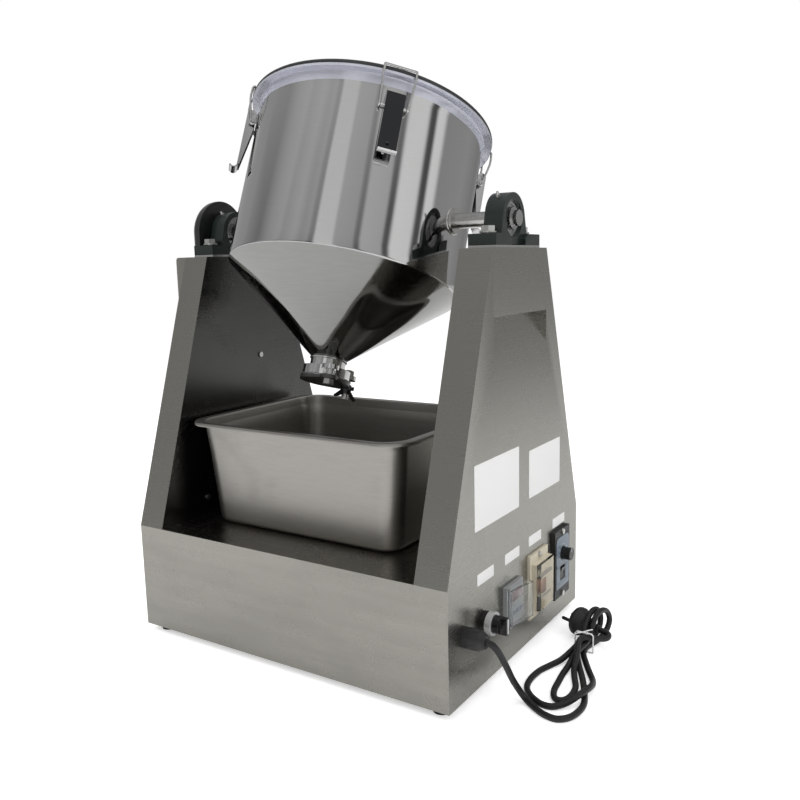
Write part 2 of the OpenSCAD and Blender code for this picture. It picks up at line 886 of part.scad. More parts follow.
module lever(k) {
    color([0.62, 0.63, 0.63])
        at_latch(k) {
            for (s = [-1, 1])
                translate([0, s > 0 ? lever_w / 2 : -lever_w / 2 + lever_t, 0])
                    lever_flange();
            difference() {
                translate([0, lever_w / 2, 0])
                    rotate([90, 0, 0])
                        linear_extrude(lever_w)
                            polygon(concat(
                                [[plate_back + lever_t, pivot_z + lever_top]],
                                [[plate_back, pivot_z + lever_top]],
                                lip_arc(lip_r),
                                turned_back(lip_arc(lip_r - lever_t))
                            ));
                translate([plate_back - over, 0, pivot_z - lever_l + ring_hole_up])
                    along_x(ring_hole_d / 2, 0, lever_t + 2 * over);
            }
            pin_y(eye_x, eye_z, pin_d / 2, 2 * eye_y + bail_wire + 2 * clear);
        }
}
module front_lever() {
    lever(0);
}
module right_lever() {
    lever(1);
}
module rear_lever() {
    lever(2);
}
module left_lever() {
    lever(3);
}

function hook_point(s, a, y) = [bead_x + hook_gap * cos(a), s * y, bead_z + hook_gap * sin(a)];
function bail_side(s) = concat(
    [[eye_x + bail_wire, s * eye_y, eye_z + bail_wire]],
    [for (z = [drum_up - bail_wire, bead_z]) [leg_x, s * bail_spread, z]],
    [for (t = [0.4, 0.8]) hook_point(s, t * hook_angle, bail_spread)],
    [for (t = [0.4, 1.6]) hook_point(s, hook_angle, bail_spread - t * bail_wire)]
);
module bail(k) {
    path = concat(bail_side(1), turned_back(bail_side(-1)));
    color([0.72, 0.72, 0.71])
        at_latch(k)
            difference() {
                union() {
                    tube(tube_rings(path, bail_wire / 2, wire_sides));
                    for (s = [-1, 1])
                        translate([0, s * eye_y, 0])
                            pin_y(eye_x, eye_z, pin_d / 2 + bail_wire, bail_wire);
                }
                pin_y(eye_x, eye_z, pin_d / 2 + fit, 4 * eye_y);
            }
}
wire_sides = 10;
module front_bail() {
    bail(0);
}
module right_bail() {
    bail(1);
}
module rear_bail() {
    bail(2);
}
module left_bail() {
    bail(3);
}

// Lid: rolled edge, flat seat, a stiffening step and a low dome, with a rod handle
lid_t = 1.2;
lid_plate_z = seat_z + gasket_t + clear;
seat_w = 22;
step_h = 7;
step_w = 8;
dome_h = 8;
lid_flat_r = bead_x - seat_w;
dome_r = lid_flat_r - step_w;
dome_flat_r = 85;
lid_top_z = lid_plate_z + step_h + dome_h + lid_t;
function dome_line(t) = [
    [0, lid_plate_z + step_h + dome_h + t],
    [dome_flat_r, lid_plate_z + step_h + dome_h + t],
    [dome_r, lid_plate_z + step_h + t]
];
module lid() {
    up = dome_line(lid_t);
    low = dome_line(0);
    color([0.40, 0.41, 0.41])
        leaned() {
            rotate_extrude($fn = 128)
                polygon(concat(
                    up,
                    [[lid_flat_r, lid_plate_z + lid_t], [bead_x, lid_plate_z + lid_t]],
                    [[bead_x, lid_plate_z], [lid_flat_r, lid_plate_z]],
                    turned_back(low)
                ));
            rotate_extrude($fn = 128)
                translate([bead_x, bead_z])
                    circle(r = bead_r, $fn = 32);
        }
}
module lid_gasket() {
    color([0.88, 0.88, 0.86])
        leaned()
            translate([0, 0, seat_z + clear / 2])
                difference() {
                    cylinder(r = bead_x - bead_r - clear, h = gasket_t, $fn = 128);
                    translate([0, 0, -over])
                        cylinder(r = drum_r - drum_wall, h = gasket_t + 2 * over, $fn = 128);
                }
}
handle_plate_d = 26;
handle_plate_t = 2;
module lid_handle() {
    r = handle_rod / 2;
    half = handle_w / 2 - r;
    top = lid_top_z + handle_h - r;
    side = [
        [half, 0, lid_top_z], [half, 0, top - 2 * handle_rod],
        for (a = [30:30:90]) [half - 2 * handle_rod * (1 - cos(a)), 0, top - 2 * handle_rod * (1 - sin(a))]
    ];
    color([0.68, 0.68, 0.67])
        leaned() {
            tube(tube_rings(concat(side, turned_back([for (p = side) [-p[0], 0, p[2]]])), r, wire_sides));
            for (s = [-1, 1])
                translate([s * half, 0, lid_top_z])
                    cylinder(d = handle_plate_d, h = handle_plate_t, $fn = 48);
        }
}

// Outlet: flanged neck with two ears, a swinging gate and its wing nut
ear_turn = -45;
stud_turn = 75;
ear_r = 11;
ear_out = 39;
ear_h = 6;
gate_r = flange_r + 1.5;
gate_bolt_d = 10;
gate_nut_d = 15;
gate_nut_h = 7;
module ear(turn, r, z, h) {
    rotate([0, 0, turn])
        translate([0, 0, z]) {
            translate([ear_out, 0, 0])
                cylinder(r = r, h = h, $fn = 64);
            translate([flange_r / 2, -r, 0])
                cube([ear_out - flange_r / 2, 2 * r, h]);
        }
}
module outlet_ferrule() {
    bore = neck_r - cone_wall_out;
    color([0.60, 0.60, 0.58])
        leaned()
            difference() {
                union() {
                    translate([0, 0, flange_z - over])
                        cylinder(r = neck_r, h = neck_h + over, $fn = 96);
                    translate([0, 0, outlet_z])
                        cylinder(r = flange_r, h = flange_t, $fn = 96);
                    ear(ear_turn, ear_r, flange_z - ear_h, ear_h);
                    ear(stud_turn, ear_r, flange_z - ear_h, ear_h);
                }
                translate([0, 0, outlet_z - over])
                    cylinder(r = bore, h = flange_t + neck_h + 2 * over, $fn = 96);
                for (t = [ear_turn, stud_turn])
                    rotate([0, 0, t])
                        translate([ear_out, 0, outlet_z])
                            cylinder(d = gate_bolt_d + 2 * fit, h = flange_t + over, $fn = 48);
            }
}
module gate_screw(turn, low) {
    leaned()
        rotate([0, 0, turn])
            translate([ear_out, 0, 0]) {
                translate([0, 0, flange_z])
                    cylinder(d = gate_nut_d, h = gate_nut_h, $fn = 6);
                translate([0, 0, low])
                    cylinder(d = gate_bolt_d, h = flange_z - low + gate_nut_h + over, $fn = 48);
            }
}
gate_low = gate_top - gate_t;
stud_tip = 8;
module gate_fasteners() {
    color([0.62, 0.62, 0.60]) {
        gate_screw(ear_turn, gate_low - gate_nut_h);
        gate_screw(stud_turn, gate_low - gate_nut_h - stud_tip);
        leaned()
            rotate([0, 0, ear_turn])
                translate([ear_out, 0, gate_low - clear - gate_nut_h])
                    cylinder(d = gate_nut_d, h = gate_nut_h, $fn = 6);
    }
}
slot_w = 11;
module outlet_gate() {
    color([0.30, 0.30, 0.29])
        leaned()
            difference() {
                union() {
                    translate([0, 0, gate_low])
                        cylinder(r = gate_r, h = gate_t, $fn = 96);
                    ear(ear_turn, ear_r, gate_low, gate_t);
                    ear(stud_turn, ear_r, gate_low, gate_t);
                }
                rotate([0, 0, ear_turn])
                    translate([ear_out, 0, gate_low - over])
                        cylinder(d = gate_bolt_d + 2 * fit, h = gate_t + 2 * over, $fn = 48);
                rotate([0, 0, stud_turn])
                    translate([ear_out, 0, gate_low - over]) {
                        cylinder(d = slot_w, h = gate_t + 2 * over, $fn = 48);
                        rotate([0, 0, (ear_turn - stud_turn) / 2])
                            translate([0, fit - slot_w / 2, 0])
                                cube([3 * ear_r, slot_w - 2 * fit, gate_t + 2 * over]);
                    }
            }
}
module gate_gasket() {
    color([0.85, 0.85, 0.83])
        leaned()
            translate([0, 0, gate_top])
                difference() {
                    cylinder(r = flange_r - gate_seal_in, h = gate_seal_t, $fn = 96);
                    translate([0, 0, -over])
                        cylinder(r = neck_r, h = gate_seal_t + 2 * over, $fn = 96);
                }
}
gate_seal_in = 2;
wing_span = 38;
wing_t = 3;
wing_h = 11;
module wing_nut() {
    color([0.10, 0.10, 0.10])
        leaned()
            rotate([0, 0, stud_turn])
                translate([ear_out, 0, gate_low - clear]) {
                    difference() {
                        union() {
                            translate([0, 0, -gate_nut_h])
                                cylinder(d1 = gate_nut_d * 0.8, d2 = gate_nut_d, h = gate_nut_h, $fn = 48);
                            for (s = [0, 180])
                                rotate([90, 0, s])
                                    translate([0, 0, -wing_t / 2])
                                        linear_extrude(wing_t)
                                            polygon([
                                                [gate_nut_d / 4, -1],
                                                [gate_nut_d / 2, -1],
                                                [wing_span / 2 - 4, -wing_h + 3],
                                                [wing_span / 2, -wing_h],
                                                [wing_span / 2 - 2, -wing_h - 3],
                                                [wing_span / 3, -wing_h - 1],
                                                [gate_nut_d / 4, -gate_nut_h]
                                            ]);
                        }
                        translate([0, 0, -2 * wing_h])
                            cylinder(d = gate_bolt_d + 2 * fit, h = 3 * wing_h, $fn = 48);
                    }
                }
}

// Controls on the right cover, measured from its outer face
controls_z = 91;
selector_y = -109;
selector_hole_d = 22.4;
selector_base = 7;
selector_ring = 8;
barrel_l = 18;
block_l_inner = 26;
spindle_d = 8;
knob_gap_x = selector_base + clear;
module selector_bezel() {
    color([0.78, 0.79, 0.80])
        translate([half_w, selector_y, controls_z])
            difference() {
                union() {
                    along_x(selector_d / 2 - over, 0, selector_base);
                    along_x(selector_d / 2, selector_base, selector_ring);
                    along_x(selector_hole_d / 2 - clear / 2, -barrel_l, barrel_l + over);
                    translate([-barrel_l - block_l_inner, -selector_d / 2, -selector_d / 2])
                        cube([block_l_inner, selector_d, selector_d]);
                }
                along_x(selector_cap_d / 2 + clear, knob_gap_x, selector_ring + over);
                along_x(spindle_d / 2 + fit, -barrel_l, barrel_l + selector_base + over);
            }
}
selector_cap_d = 22;
selector_cap = 16;
grip_w = 8;
grip_out = 9;
module selector_knob() {
    color([0.06, 0.06, 0.06])
        translate([half_w, selector_y, controls_z]) {
            along_x(selector_cap_d / 2, knob_gap_x + clear, selector_cap);
            along_x(spindle_d / 2, -barrel_l + over, barrel_l + selector_base + over);
            intersection() {
                translate([knob_gap_x + selector_cap - over, -grip_w / 2, -selector_cap_d / 2])
                    cube([grip_out + over, grip_w, selector_cap_d]);
                along_x(selector_cap_d / 2, knob_gap_x, selector_cap + 2 * grip_out);
            }
        }
}

// Timer in the panel, with a clear flap on a pin at its front edge
timer_y = -31;
timer_z = 88;
timer_hole = 45;
timer_bezel = 5;
timer_tall = 54;
timer_deep = 60;
flap_deep = 6;
flap_wall = 1.2;
flap_ajar = 11;
flap_pin_d = 2.4;
flap_knuckle_d = 5;
flap_lug = 3;
flap_x = half_w + timer_bezel + clear + flap_knuckle_d / 2;
flap_y = timer_y - timer_w / 2 + flap_knuckle_d / 2;
key_w = 8;
key_h = 6;
key_t = 0.8;
key_count = 4;
display_w = 36;
display_h = 15;
module timer() {
    color([0.20, 0.21, 0.23]) {
        translate([half_w, timer_y - timer_w / 2, timer_z - timer_tall / 2])
            cube([timer_bezel, timer_w, timer_tall]);
        translate([half_w - timer_deep, timer_y - timer_hole / 2 + clear, timer_z - timer_hole / 2 + clear])
            cube([timer_deep + over, timer_hole - 2 * clear, timer_hole - 2 * clear]);
        translate([half_w + timer_bezel - over, timer_y - display_w / 2 + flap_lug, timer_z + flap_lug])
            cube([over + key_t, display_w, display_h]);
        for (k = [0:key_count - 1])
            translate([half_w + timer_bezel - over,
                timer_y + flap_lug - display_w / 2 + k * (display_w - key_w) / (key_count - 1),
                timer_z - timer_hole / 3])
                cube([over + key_t, key_w, key_h]);
        for (s = [-1, 1])
            translate([flap_x, flap_y, timer_z + s * (timer_tall - flap_lug) / 2])
                translate([-flap_knuckle_d / 2 - over, -flap_knuckle_d / 2, -flap_lug / 2])
                    cube([flap_knuckle_d + over, flap_knuckle_d, flap_lug]);
        translate([flap_x, flap_y, timer_z - timer_tall / 2 + over])
            cylinder(d = flap_pin_d, h = timer_tall - 2 * over, $fn = 32);
    }
}
module timer_cover() {
    tall = timer_tall - 2 * flap_lug - 2 * clear;
    wide = timer_w - flap_knuckle_d;
    color([0.80, 0.84, 0.86, 0.4])
        translate([flap_x, flap_y, timer_z])
            rotate([0, 0, -flap_ajar])
                difference() {
                    union() {
                        translate([flap_deep - flap_knuckle_d / 2 - flap_wall, 0, -tall / 2])
                            cube([flap_wall, wide + flap_knuckle_d / 2, tall]);
                        for (s = [-1, 1])
                            translate([-flap_knuckle_d / 2, flap_knuckle_d / 2, 
                                s * (tall - flap_wall) / 2 - flap_wall / 2])
                                cube([flap_deep, wide, flap_wall]);
                        translate([-flap_knuckle_d / 2, wide + flap_knuckle_d / 2 - flap_wall, -tall / 2])
                            cube([flap_deep, flap_wall, tall]);
                        translate([0, 0, -tall / 2])
                            cylinder(d = flap_knuckle_d, h = tall, $fn = 48);
                        translate([0, -flap_wall / 2, -tall / 2])
                            cube([flap_deep - flap_knuckle_d / 2, flap_wall + flap_knuckle_d / 2, tall]);
                    }
                    translate([0, 0, -tall])
                        cylinder(d = flap_pin_d + 2 * fit, h = 2 * tall, $fn = 48);
                }
}

// Relay: a beige base with a clear cover
relay_y = 49;
relay_z = 88;
relay_plate_w = 60;
relay_plate_h = 90;
relay_plate_t = 4;
relay_body_y = 51;
relay_out = 11;
relay_cover_out = 15.5;
relay_cut = 6;
relay_boss_d = 12;
relay_inside = 30;
module relay() {
    color([0.80, 0.76, 0.66])
        difference() {
            union() {
                translate([half_w, relay_y - relay_plate_w / 2, relay_z - relay_plate_h / 2])
                    cube([relay_plate_t, relay_plate_w, relay_plate_h]);
                translate([half_w, relay_body_y - relay_w / 2, relay_z - relay_h / 2])
                    cube([relay_out, relay_w, relay_h]);
            }
            for (s = [-1, 1])
                translate([0, relay_y, relay_z + s * relay_screw_z])
                    along_x(screw_d / 2 + fit, half_w - over, relay_plate_t + 2 * over);
        }
}
relay_screw_z = 40;
screw_d = 4;
screw_head_d = 8;
screw_head_h = 2.4;
screw_l = 9;
module relay_cover() {
    color([0.85, 0.84, 0.80, 0.5])
        translate([half_w + relay_out + clear, relay_body_y, relay_z - relay_h / 2])
            linear_extrude(relay_h)
                polygon([
                    [0, -relay_w / 2],
                    [0, relay_w / 2],
                    [1, relay_w / 2],
                    [relay_cover_out - relay_out - clear, relay_w / 2 - relay_cut],
                    [relay_cover_out - relay_out - clear, -relay_w / 2 + relay_cut],
                    [1, -relay_w / 2]
                ]);
}

// Speed controller with its knob and its rocker switch
control_y = 128;
control_z = 91.5;
control_hole_w = 46;
control_hole_h = 80;
control_t = 6;
control_deep = 42;
face_t = 0.6;
face_w = 47;
face_h = 77;
speed_z = 106;
rocker_z = 77;
rocker_w = 13;
rocker_h = 18;
rocker_room = 0.9;
rocker_deep = 8;
rocker_x = 1;
rocker_tilt = 8;
rocker_pin_d = 3;
speed_spindle_d = 6;
speed_knob_out = 13.5;
module speed_controller() {
    color([0.08, 0.08, 0.09])
        difference() {
            union() {
                translate([half_w, control_y - control_w / 2, control_z - control_h / 2])
                    cube([control_t, control_w, control_h]);
                translate([half_w - control_deep, control_y - control_hole_w / 2 + clear, 
                    control_z - control_hole_h / 2 + clear])
                    cube([control_deep + over, control_hole_w - 2 * clear, control_hole_h - 2 * clear]);
                translate([half_w + control_t - over, control_y - face_w / 2, face_z])
                    cube([over + face_t, face_w, face_h]);
            }
            translate([0, control_y, speed_z])
                along_x(speed_spindle_d / 2 + fit, half_w - control_t, 2 * control_t + over);
            translate([half_w - rocker_deep, control_y - rocker_w / 2 - clear,
                rocker_z - rocker_h / 2 - rocker_room])
                cube([rocker_deep + control_t + over, rocker_w + 2 * clear, rocker_h + 2 * rocker_room]);
            translate([half_w + rocker_x, control_y + rocker_w, rocker_z])
                rotate([90, 0, 0])
                    cylinder(d = rocker_pin_d + 2 * fit, h = 2 * rocker_w, $fn = 32);
            for (s = [-1, 1])
                translate([0, control_y, control_z + s * control_screw_z])
                    along_x(screw_d / 2 + fit, half_w - over, control_t + 2 * over);
        }
}
face_shift = 2;
face_z = control_z - face_h / 2 + face_shift;
control_screw_z = 46.5;
module speed_knob() {
    color([0.07, 0.07, 0.07])
        translate([half_w, control_y, speed_z]) {
            difference() {
                union() {
                    along_x(speed_knob_d / 2, control_t + face_t + clear, 2);
                    along_x(speed_knob_d / 2 - over, control_t + face_t + clear, speed_knob_out);
                }
                for (k = [0:11])
                    rotate([30 * k, 0, 0])
                        translate([0, speed_knob_d / 2, 0])
                            along_x(over, control_t + face_t + clear + 3, speed_knob_out);
            }
            along_x(speed_spindle_d / 2, -control_t + over, 2 * control_t);
        }
}
module run_rocker() {
    color([0.05, 0.05, 0.05])
        translate([half_w + rocker_x, control_y, rocker_z])
            rotate([0, rocker_tilt, 0])
                rotate([90, 0, 0]) {
                    translate([0, 0, -rocker_w / 2])
                        linear_extrude(rocker_w)
                            polygon([
                                [-5, -5],
                                [-5, 5],
                                [2, rocker_h / 2],
                                [control_t + 0.5, rocker_h / 2],
                                [control_t - 1, 0],
                                [control_t + 0.5, -rocker_h / 2],
                                [2, -rocker_h / 2]
                            ]);
                    translate([0, 0, -rocker_w / 2 - 2])
                        cylinder(d = rocker_pin_d, h = rocker_w + 4, $fn = 32);
                }
}

// Screws of the relay and the speed controller, and the two of each tower's inner wall
wall_high = 227;
wall_low = 25;
wall_back = 25;
wall_front = 106;
wall_screws = [[wall_back, base_z + wall_high], [-wall_front, base_z + wall_low]];
panel_places = [for (s = [-1, 1]) each [
    [relay_y, relay_z + s * relay_screw_z],
    [control_y, control_z + s * control_screw_z]
]];
module screw_holes(x, places) {
    for (p = places)
        translate([0, p[0], p[1]])
            along_x(screw_d / 2 + fit, x - over, sheet_t + 2 * over);
}
module panel_screw(x, y, z, way) {
    translate([x, y, z])
        mirror([way < 0 ? 1 : 0, 0, 0]) {
            along_x(screw_head_d / 2, 0, screw_head_h);
            along_x(screw_d / 2, -screw_l, screw_l + over);
        }
}
module panel_screws() {
    color([0.70, 0.70, 0.69]) {
        for (s = [-1, 1]) {
            panel_screw(half_w + relay_plate_t, relay_y, relay_z + s * relay_screw_z, 1);
            panel_screw(half_w + control_t, control_y, control_z + s * control_screw_z, 1);
        }
        for (s = [-1, 1], p = wall_screws)
            panel_screw(s * inner_x, p[0], p[1], -s);
    }
}

gland_in = 40.5;
gland_y = gland_in - half_d;
gland_z = 90;
gland_thread_d = 20;
gland_hex_d = 28;
gland_hex = 8;
gland_body_d = 25;
gland_body = 20;
gland_nose_d = 16;
gland_l = 28;
gland_cone = gland_l - gland_body;
gland_behind = 14;
gland_nut = 5;
module cable_gland() {
    color([0.06, 0.06, 0.06])
        translate([half_w, gland_y, gland_z])
            difference() {
                union() {
                    rotate([0, 90, 0])
                        cylinder(d = gland_hex_d, h = gland_hex, $fn = 6);
                    along_x(gland_body_d / 2, 0, gland_body);
                    translate([gland_body, 0, 0])
                        rotate([0, 90, 0])
                            cylinder(d1 = gland_body_d, d2 = gland_nose_d, h = gland_cone, $fn = 64);
                    along_x(gland_thread_d / 2, -gland_behind, gland_behind + over);
                    translate([-sheet_t - gland_nut, 0, 0])
                        rotate([0, 90, 0])
                            cylinder(d = gland_hex_d, h = gland_nut, $fn = 6);
                }
                along_x(cord_d / 2 + clear, -gland_behind - over, gland_behind + gland_l + 2 * over);
            }
}

// Tray: one tapered pan with a rolled rim, as rings of a rounded rectangle
tray_x = -16;
tray_y = -13;
rim_fall = 4.5;
rim_r0 = 3;
function corner(w, d, r, q) = [for (a = [90 * q:15:90 * q + 90])
    [(q == 0 || q == 3 ? 1 : -1) * (w - r) + r * cos(a), (q < 2 ? 1 : -1) * (d - r) + r * sin(a)]];
function tray_ring(o, z) = let (
    w = tray_w / 2 - tray_rim + o,
    d = tray_d / 2 - tray_rim + o,
    r = tray_r - tray_rim + tray_r_share * o
) [for (q = [0:3]) for (p = corner(w, d, r, q)) [p[0], p[1], z]];
tray_r_share = 0.6;
tray_line = concat(
    [for (a = [0:22.5:90])
        [-tray_taper + tray_wall - (tray_floor_r + tray_wall) * (1 - sin(a)),
            (tray_floor_r + tray_wall) * (1 - cos(a))]],
    [[tray_wall, tray_h - rim_fall]],
    [[tray_rim - over, tray_h - rim_fall]],
    [for (a = [0:30:90]) [tray_rim - rim_r0 * (1 - cos(a)), tray_h - rim_r0 * (1 - sin(a))]],
    [for (a = [0:30:90]) [rim_r0 * (1 - sin(a)), tray_h - rim_r0 * (1 - cos(a))]],
    [for (a = [90:-22.5:0])
        [-tray_taper - tray_floor_r * (1 - sin(a)), tray_wall + tray_floor_r * (1 - cos(a))]]
);
module tray() {
    rings = [for (p = tray_line) tray_ring(p[0], p[1])];
    color([0.70, 0.70, 0.68])
        translate([tray_x, tray_y, base_z + fit])
            tube(rings);
}

// A closed tube through rings that all have the same number of points
module tube(rings, loop = false) {
    n = len(rings[0]);
    m = len(rings);
    polyhedron(
        points = [for (r = rings) for (p = r) p],
        faces = concat(
            loop ? [] : [[for (k = [0:n - 1]) k], [for (k = [n - 1:-1:0]) (m - 1) * n + k]],
            [for (j = [0:m - (loop ? 1 : 2)]) for (k = [0:n - 1])
                let (i = (j + 1) % m)
                [j * n + k, i * n + k, i * n + (k + 1) % n, j * n + (k + 1) % n]]
        ),
        convexity = 6
    );
}

// Power cord: its route is a list of points on its centre line, smoothed by a spline.
cord_r = cord_d / 2;
lead_sides = 8;
hank_sides = 6;
lead_steps = 3;
hank_steps = 2;
lead_route = [
    [256, -157, 90], [283, -157, 90], [293, -152, 82], [298, -140, 60], [300, -124, 34], [303, -113, 17],
    [309, -111, 8], [318, -115, 4.2], [330, -123, 4], [344, -130, 4], [360, -131, 4], [372, -117, 4],
    [375, -90, 4], [367, -63, 4], [352, -29, 4], [334, 5, 4], [323, 28, 4.7], [318, 46, 5.4]
];
hank_route = [
    [318, 46, 5.4], [318, 59, 5.4], [319, 76, 4], [321, 96, 4.2], [322, 114, 9], [321, 124, 20],
    [319, 121, 32], [317, 108, 38], [316, 92, 36], [316, 77, 28], [317, 65, 17.5], [318, 56, 13.6],
    [318, 45, 13.4], [316, 24, 11], [310, 3, 6], [302, -15, 4], [296, -36, 4], [295, -60, 4], [299, -80, 4],
    [308, -94, 4], [320, -104, 4], [333, -110, 4], [346, -108, 4.4], [358, -96, 7], [367, -80, 12],
    [371, -64, 12.6], [370, -44, 9], [363, -24, 4.5], [351, -4, 4], [340, 15, 4], [330, 33, 4.7],
    [326, 46, 5.4], [326, 59, 5.4], [328, 76, 4], [331, 96, 4.2], [333, 116, 9], [333, 127, 20],
    [330, 124, 32], [327, 110, 38], [325, 94, 36], [325, 80, 27], [326, 68, 16.8], [326, 57, 13.5],
    [326, 45, 13.4], [325, 25, 13], [324, 10, 10.5], [324, -8, 5], [325, -28, 4], [328, -50, 4],
    [331, -70, 4], [336, -84, 4], [343, -91, 4], [351, -87, 4], [354, -75, 4], [353, -60, 4], [350, -48, 4],
    [343, -33, 4], [334, -12, 5.5], [331, 4, 14], [326, 21, 21], [322, 40, 21.8], [325, 49, 22],
    [333, 56, 20.5], [342, 65, 17.5], [348, 74, 16.5], [347, 81.5, 18], [340, 84.6, 19.6], [333, 86, 20]
];
function spline_at(a, b, c, d, t) = (2 * b + (c - a) * t + (2 * a - 5 * b + 4 * c - d) * pow(t, 2)
    + (3 * b - a - 3 * c + d) * pow(t, 3)) / 2;
function spline(p, n) = concat(
    [for (i = [0:len(p) - 2], k = [0:n - 1])
        spline_at(p[max(i - 1, 0)], p[i], p[i + 1], p[min(i + 2, len(p) - 1)], k / n)],
    [p[len(p) - 1]]
);
function way(p, i) = let (d = p[min(i + 1, len(p) - 1)] - p[max(i - 1, 0)]) d / norm(d);
function frames(p, i, side) = i == len(p) ? [] : let (
    t = way(p, i),
    s = side - (side * t) * t,
    u = s / norm(s)
) concat([[u, cross(t, u)]], frames(p, i + 1, u));
first_side = [0, 0.9, 0.3];
function tube_rings(p, r, sides) = let (f = frames(p, 0, first_side)) [for (i = [0:len(p) - 1])
    [for (k = [0:sides - 1]) p[i] + r * (f[i][0] * cos(360 * k / sides) + f[i][1] * sin(360 * k / sides))]];
function far_gaps(p, apart) = [for (i = [0:len(p) - apart - 1], j = [i + apart:len(p) - 1])
    norm(p[i] - p[j]) - cord_d];
module cord_lead() {
    color([0.04, 0.04, 0.04])
        tube(tube_rings(spline(lead_route, lead_steps), cord_r, lead_sides));
}
module cord_hank() {
    color([0.04, 0.04, 0.04])
        tube(tube_rings(spline(hank_route, hank_steps), cord_r, hank_sides));
}
fine_steps = 6;
fine_apart = 12;
echo(hank_gap = min(far_gaps(spline(hank_route, fine_steps), fine_apart)));

tie_x = 323.4;
tie_y = 52;
tie_band = 2.4;
tie_low = 0.2;
tie_high = 28;
tie_half = 13.2;
tie_cut = 3;
tie_wall = 1.2;
tie_wire = 0.8;
module tie_outline(m) {
    polygon([
        [-tie_half + m, tie_low + m], [tie_half - m, tie_low + m],
        [tie_half - m, tie_high - tie_cut], [tie_half - tie_cut, tie_high - m],
        [tie_cut - tie_half, tie_high - m], [-tie_half + m, tie_high - tie_cut]
    ]);
}
module cord_tie() {
    knot = [tie_x - 3, tie_y - tie_band, tie_high];
    tails = [knot + [13, 8, 4], knot + [6, 4, 2], knot, knot + [-4, -4, 0], knot + [-10, -9, -3]];
    color([0.92, 0.92, 0.92]) {
        translate([tie_x, tie_y, 0])
            rotate([90, 0, 0])
                linear_extrude(tie_band, center = true)
                    difference() {
                        tie_outline(0);
                        tie_outline(tie_wall);
                    }
        tube(tube_rings(tails, tie_wire, hank_sides));
    }
}

plug_at = [296, 101, 20];
plug_turn = -22;
plug_line = [[0, 0], [19, 0], [20, 1], [20, 6], [15, 10], [11, 17], [9, 25], [6.5, 27], [5.5, 40], [0, 40]];
pin_length = 19;
plug_pin_d = 4.8;
plug_pins = 19;
module plug() {
    color([0.05, 0.05, 0.05])
        translate(plug_at)
            rotate([0, 90, plug_turn]) {
                rotate_extrude($fn = 96)
                    polygon(plug_line);
                for (s = [-1, 1])
                    translate([0, s * plug_pins / 2, -pin_length]) {
                        cylinder(d = plug_pin_d, h = pin_length + over, $fn = 32);
                        sphere(d = plug_pin_d, $fn = 32);
                    }
            }
}

base_shell();
left_tower();
right_tower();
left_side_cover();
right_side_cover();
bottom_plate();
feet();
drive_cover();
belt_guard();
packing_plates();
bearing_housings();
bearing_outer_rings();
bearing_bolts();
grease_nipples();
gearbox();
motor();
motor_bracket();
output_shaft();
motor_pulley();
drive_belt();
terminal_block();
capacitor();
drum_shell();
stub_shafts();
trunnion_collars();
bearing_inner_rings();
drum_pulley();
latch_brackets();
outlet_ferrule();
gate_fasteners();
outlet_gate();
gate_gasket();
wing_nut();
lid();
lid_gasket();
lid_handle();
front_lever();
right_lever();
rear_lever();
left_lever();
front_bail();
right_bail();
rear_bail();
left_bail();
selector_bezel();
selector_knob();
timer();
timer_cover();
relay();
relay_cover();
speed_controller();
speed_knob();
run_rocker();
panel_screws();
cable_gland();
tray();
cord_lead();
cord_hank();
cord_tie();
plug();
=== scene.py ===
import json
from math import atan2, cos, pi, radians, sin, tan

import bmesh
import bpy
import numpy as np
from mathutils import Matrix


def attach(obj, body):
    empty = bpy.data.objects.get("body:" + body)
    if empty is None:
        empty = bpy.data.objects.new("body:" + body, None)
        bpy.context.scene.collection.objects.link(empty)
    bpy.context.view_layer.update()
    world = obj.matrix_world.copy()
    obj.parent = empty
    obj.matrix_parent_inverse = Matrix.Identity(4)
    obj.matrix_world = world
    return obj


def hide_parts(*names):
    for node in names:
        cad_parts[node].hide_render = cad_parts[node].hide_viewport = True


bl_info = {
    "name": "Tilting powder mixer looks",
    "version": (1, 0, 0),
    "blender": (4, 5, 0),
    "location": "3D View > Sidebar > Mixer",
    "description": "Finishes and fine shapes of a bench-top powder mixer with a leaned, latched drum",
    "category": "Object",
}

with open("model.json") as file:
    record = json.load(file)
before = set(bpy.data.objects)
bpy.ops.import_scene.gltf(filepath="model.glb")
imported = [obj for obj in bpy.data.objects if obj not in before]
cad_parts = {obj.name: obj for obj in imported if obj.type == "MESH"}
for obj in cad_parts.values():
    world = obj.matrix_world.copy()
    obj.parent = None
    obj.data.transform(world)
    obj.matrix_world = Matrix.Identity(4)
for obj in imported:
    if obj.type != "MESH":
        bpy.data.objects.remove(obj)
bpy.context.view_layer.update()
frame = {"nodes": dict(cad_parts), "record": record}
NODES = frame["nodes"]
RECORD = frame["record"]
BODY_OF = {node: body for body, members in RECORD["behaviour"]["bodies"].items() for node in members}

# Sizes shared by the drum's pieces, in metres along and about the drum's own axis
AXIS_Z = 0.5773
LEAN = radians(21)
DRUM_R = 0.159
SEAT_Z = 0.142
CONE_TOP_Z = -0.0845
FLARE_Z = 0.1305
LATCH_TURN = radians(-45)

# Faces right of this, turned to the drum, are the left tower's inner wall, which gets a near-black copy of the
# sheet finish as painted shade
INNER_WALL_X = -0.212

# The outer face of the right cover, which carries the controls
COVER_X = 0.255


# Surfaces

def leaned(points):
    """Turns points of the upright drum about the shaft line by the lean and lifts them to the shaft."""
    p = np.asarray(points, float)
    y = p[..., 1] * cos(LEAN) + p[..., 2] * sin(LEAN)
    z = -p[..., 1] * sin(LEAN) + p[..., 2] * cos(LEAN) + AXIS_Z
    return np.stack([p[..., 0], y, z], -1)


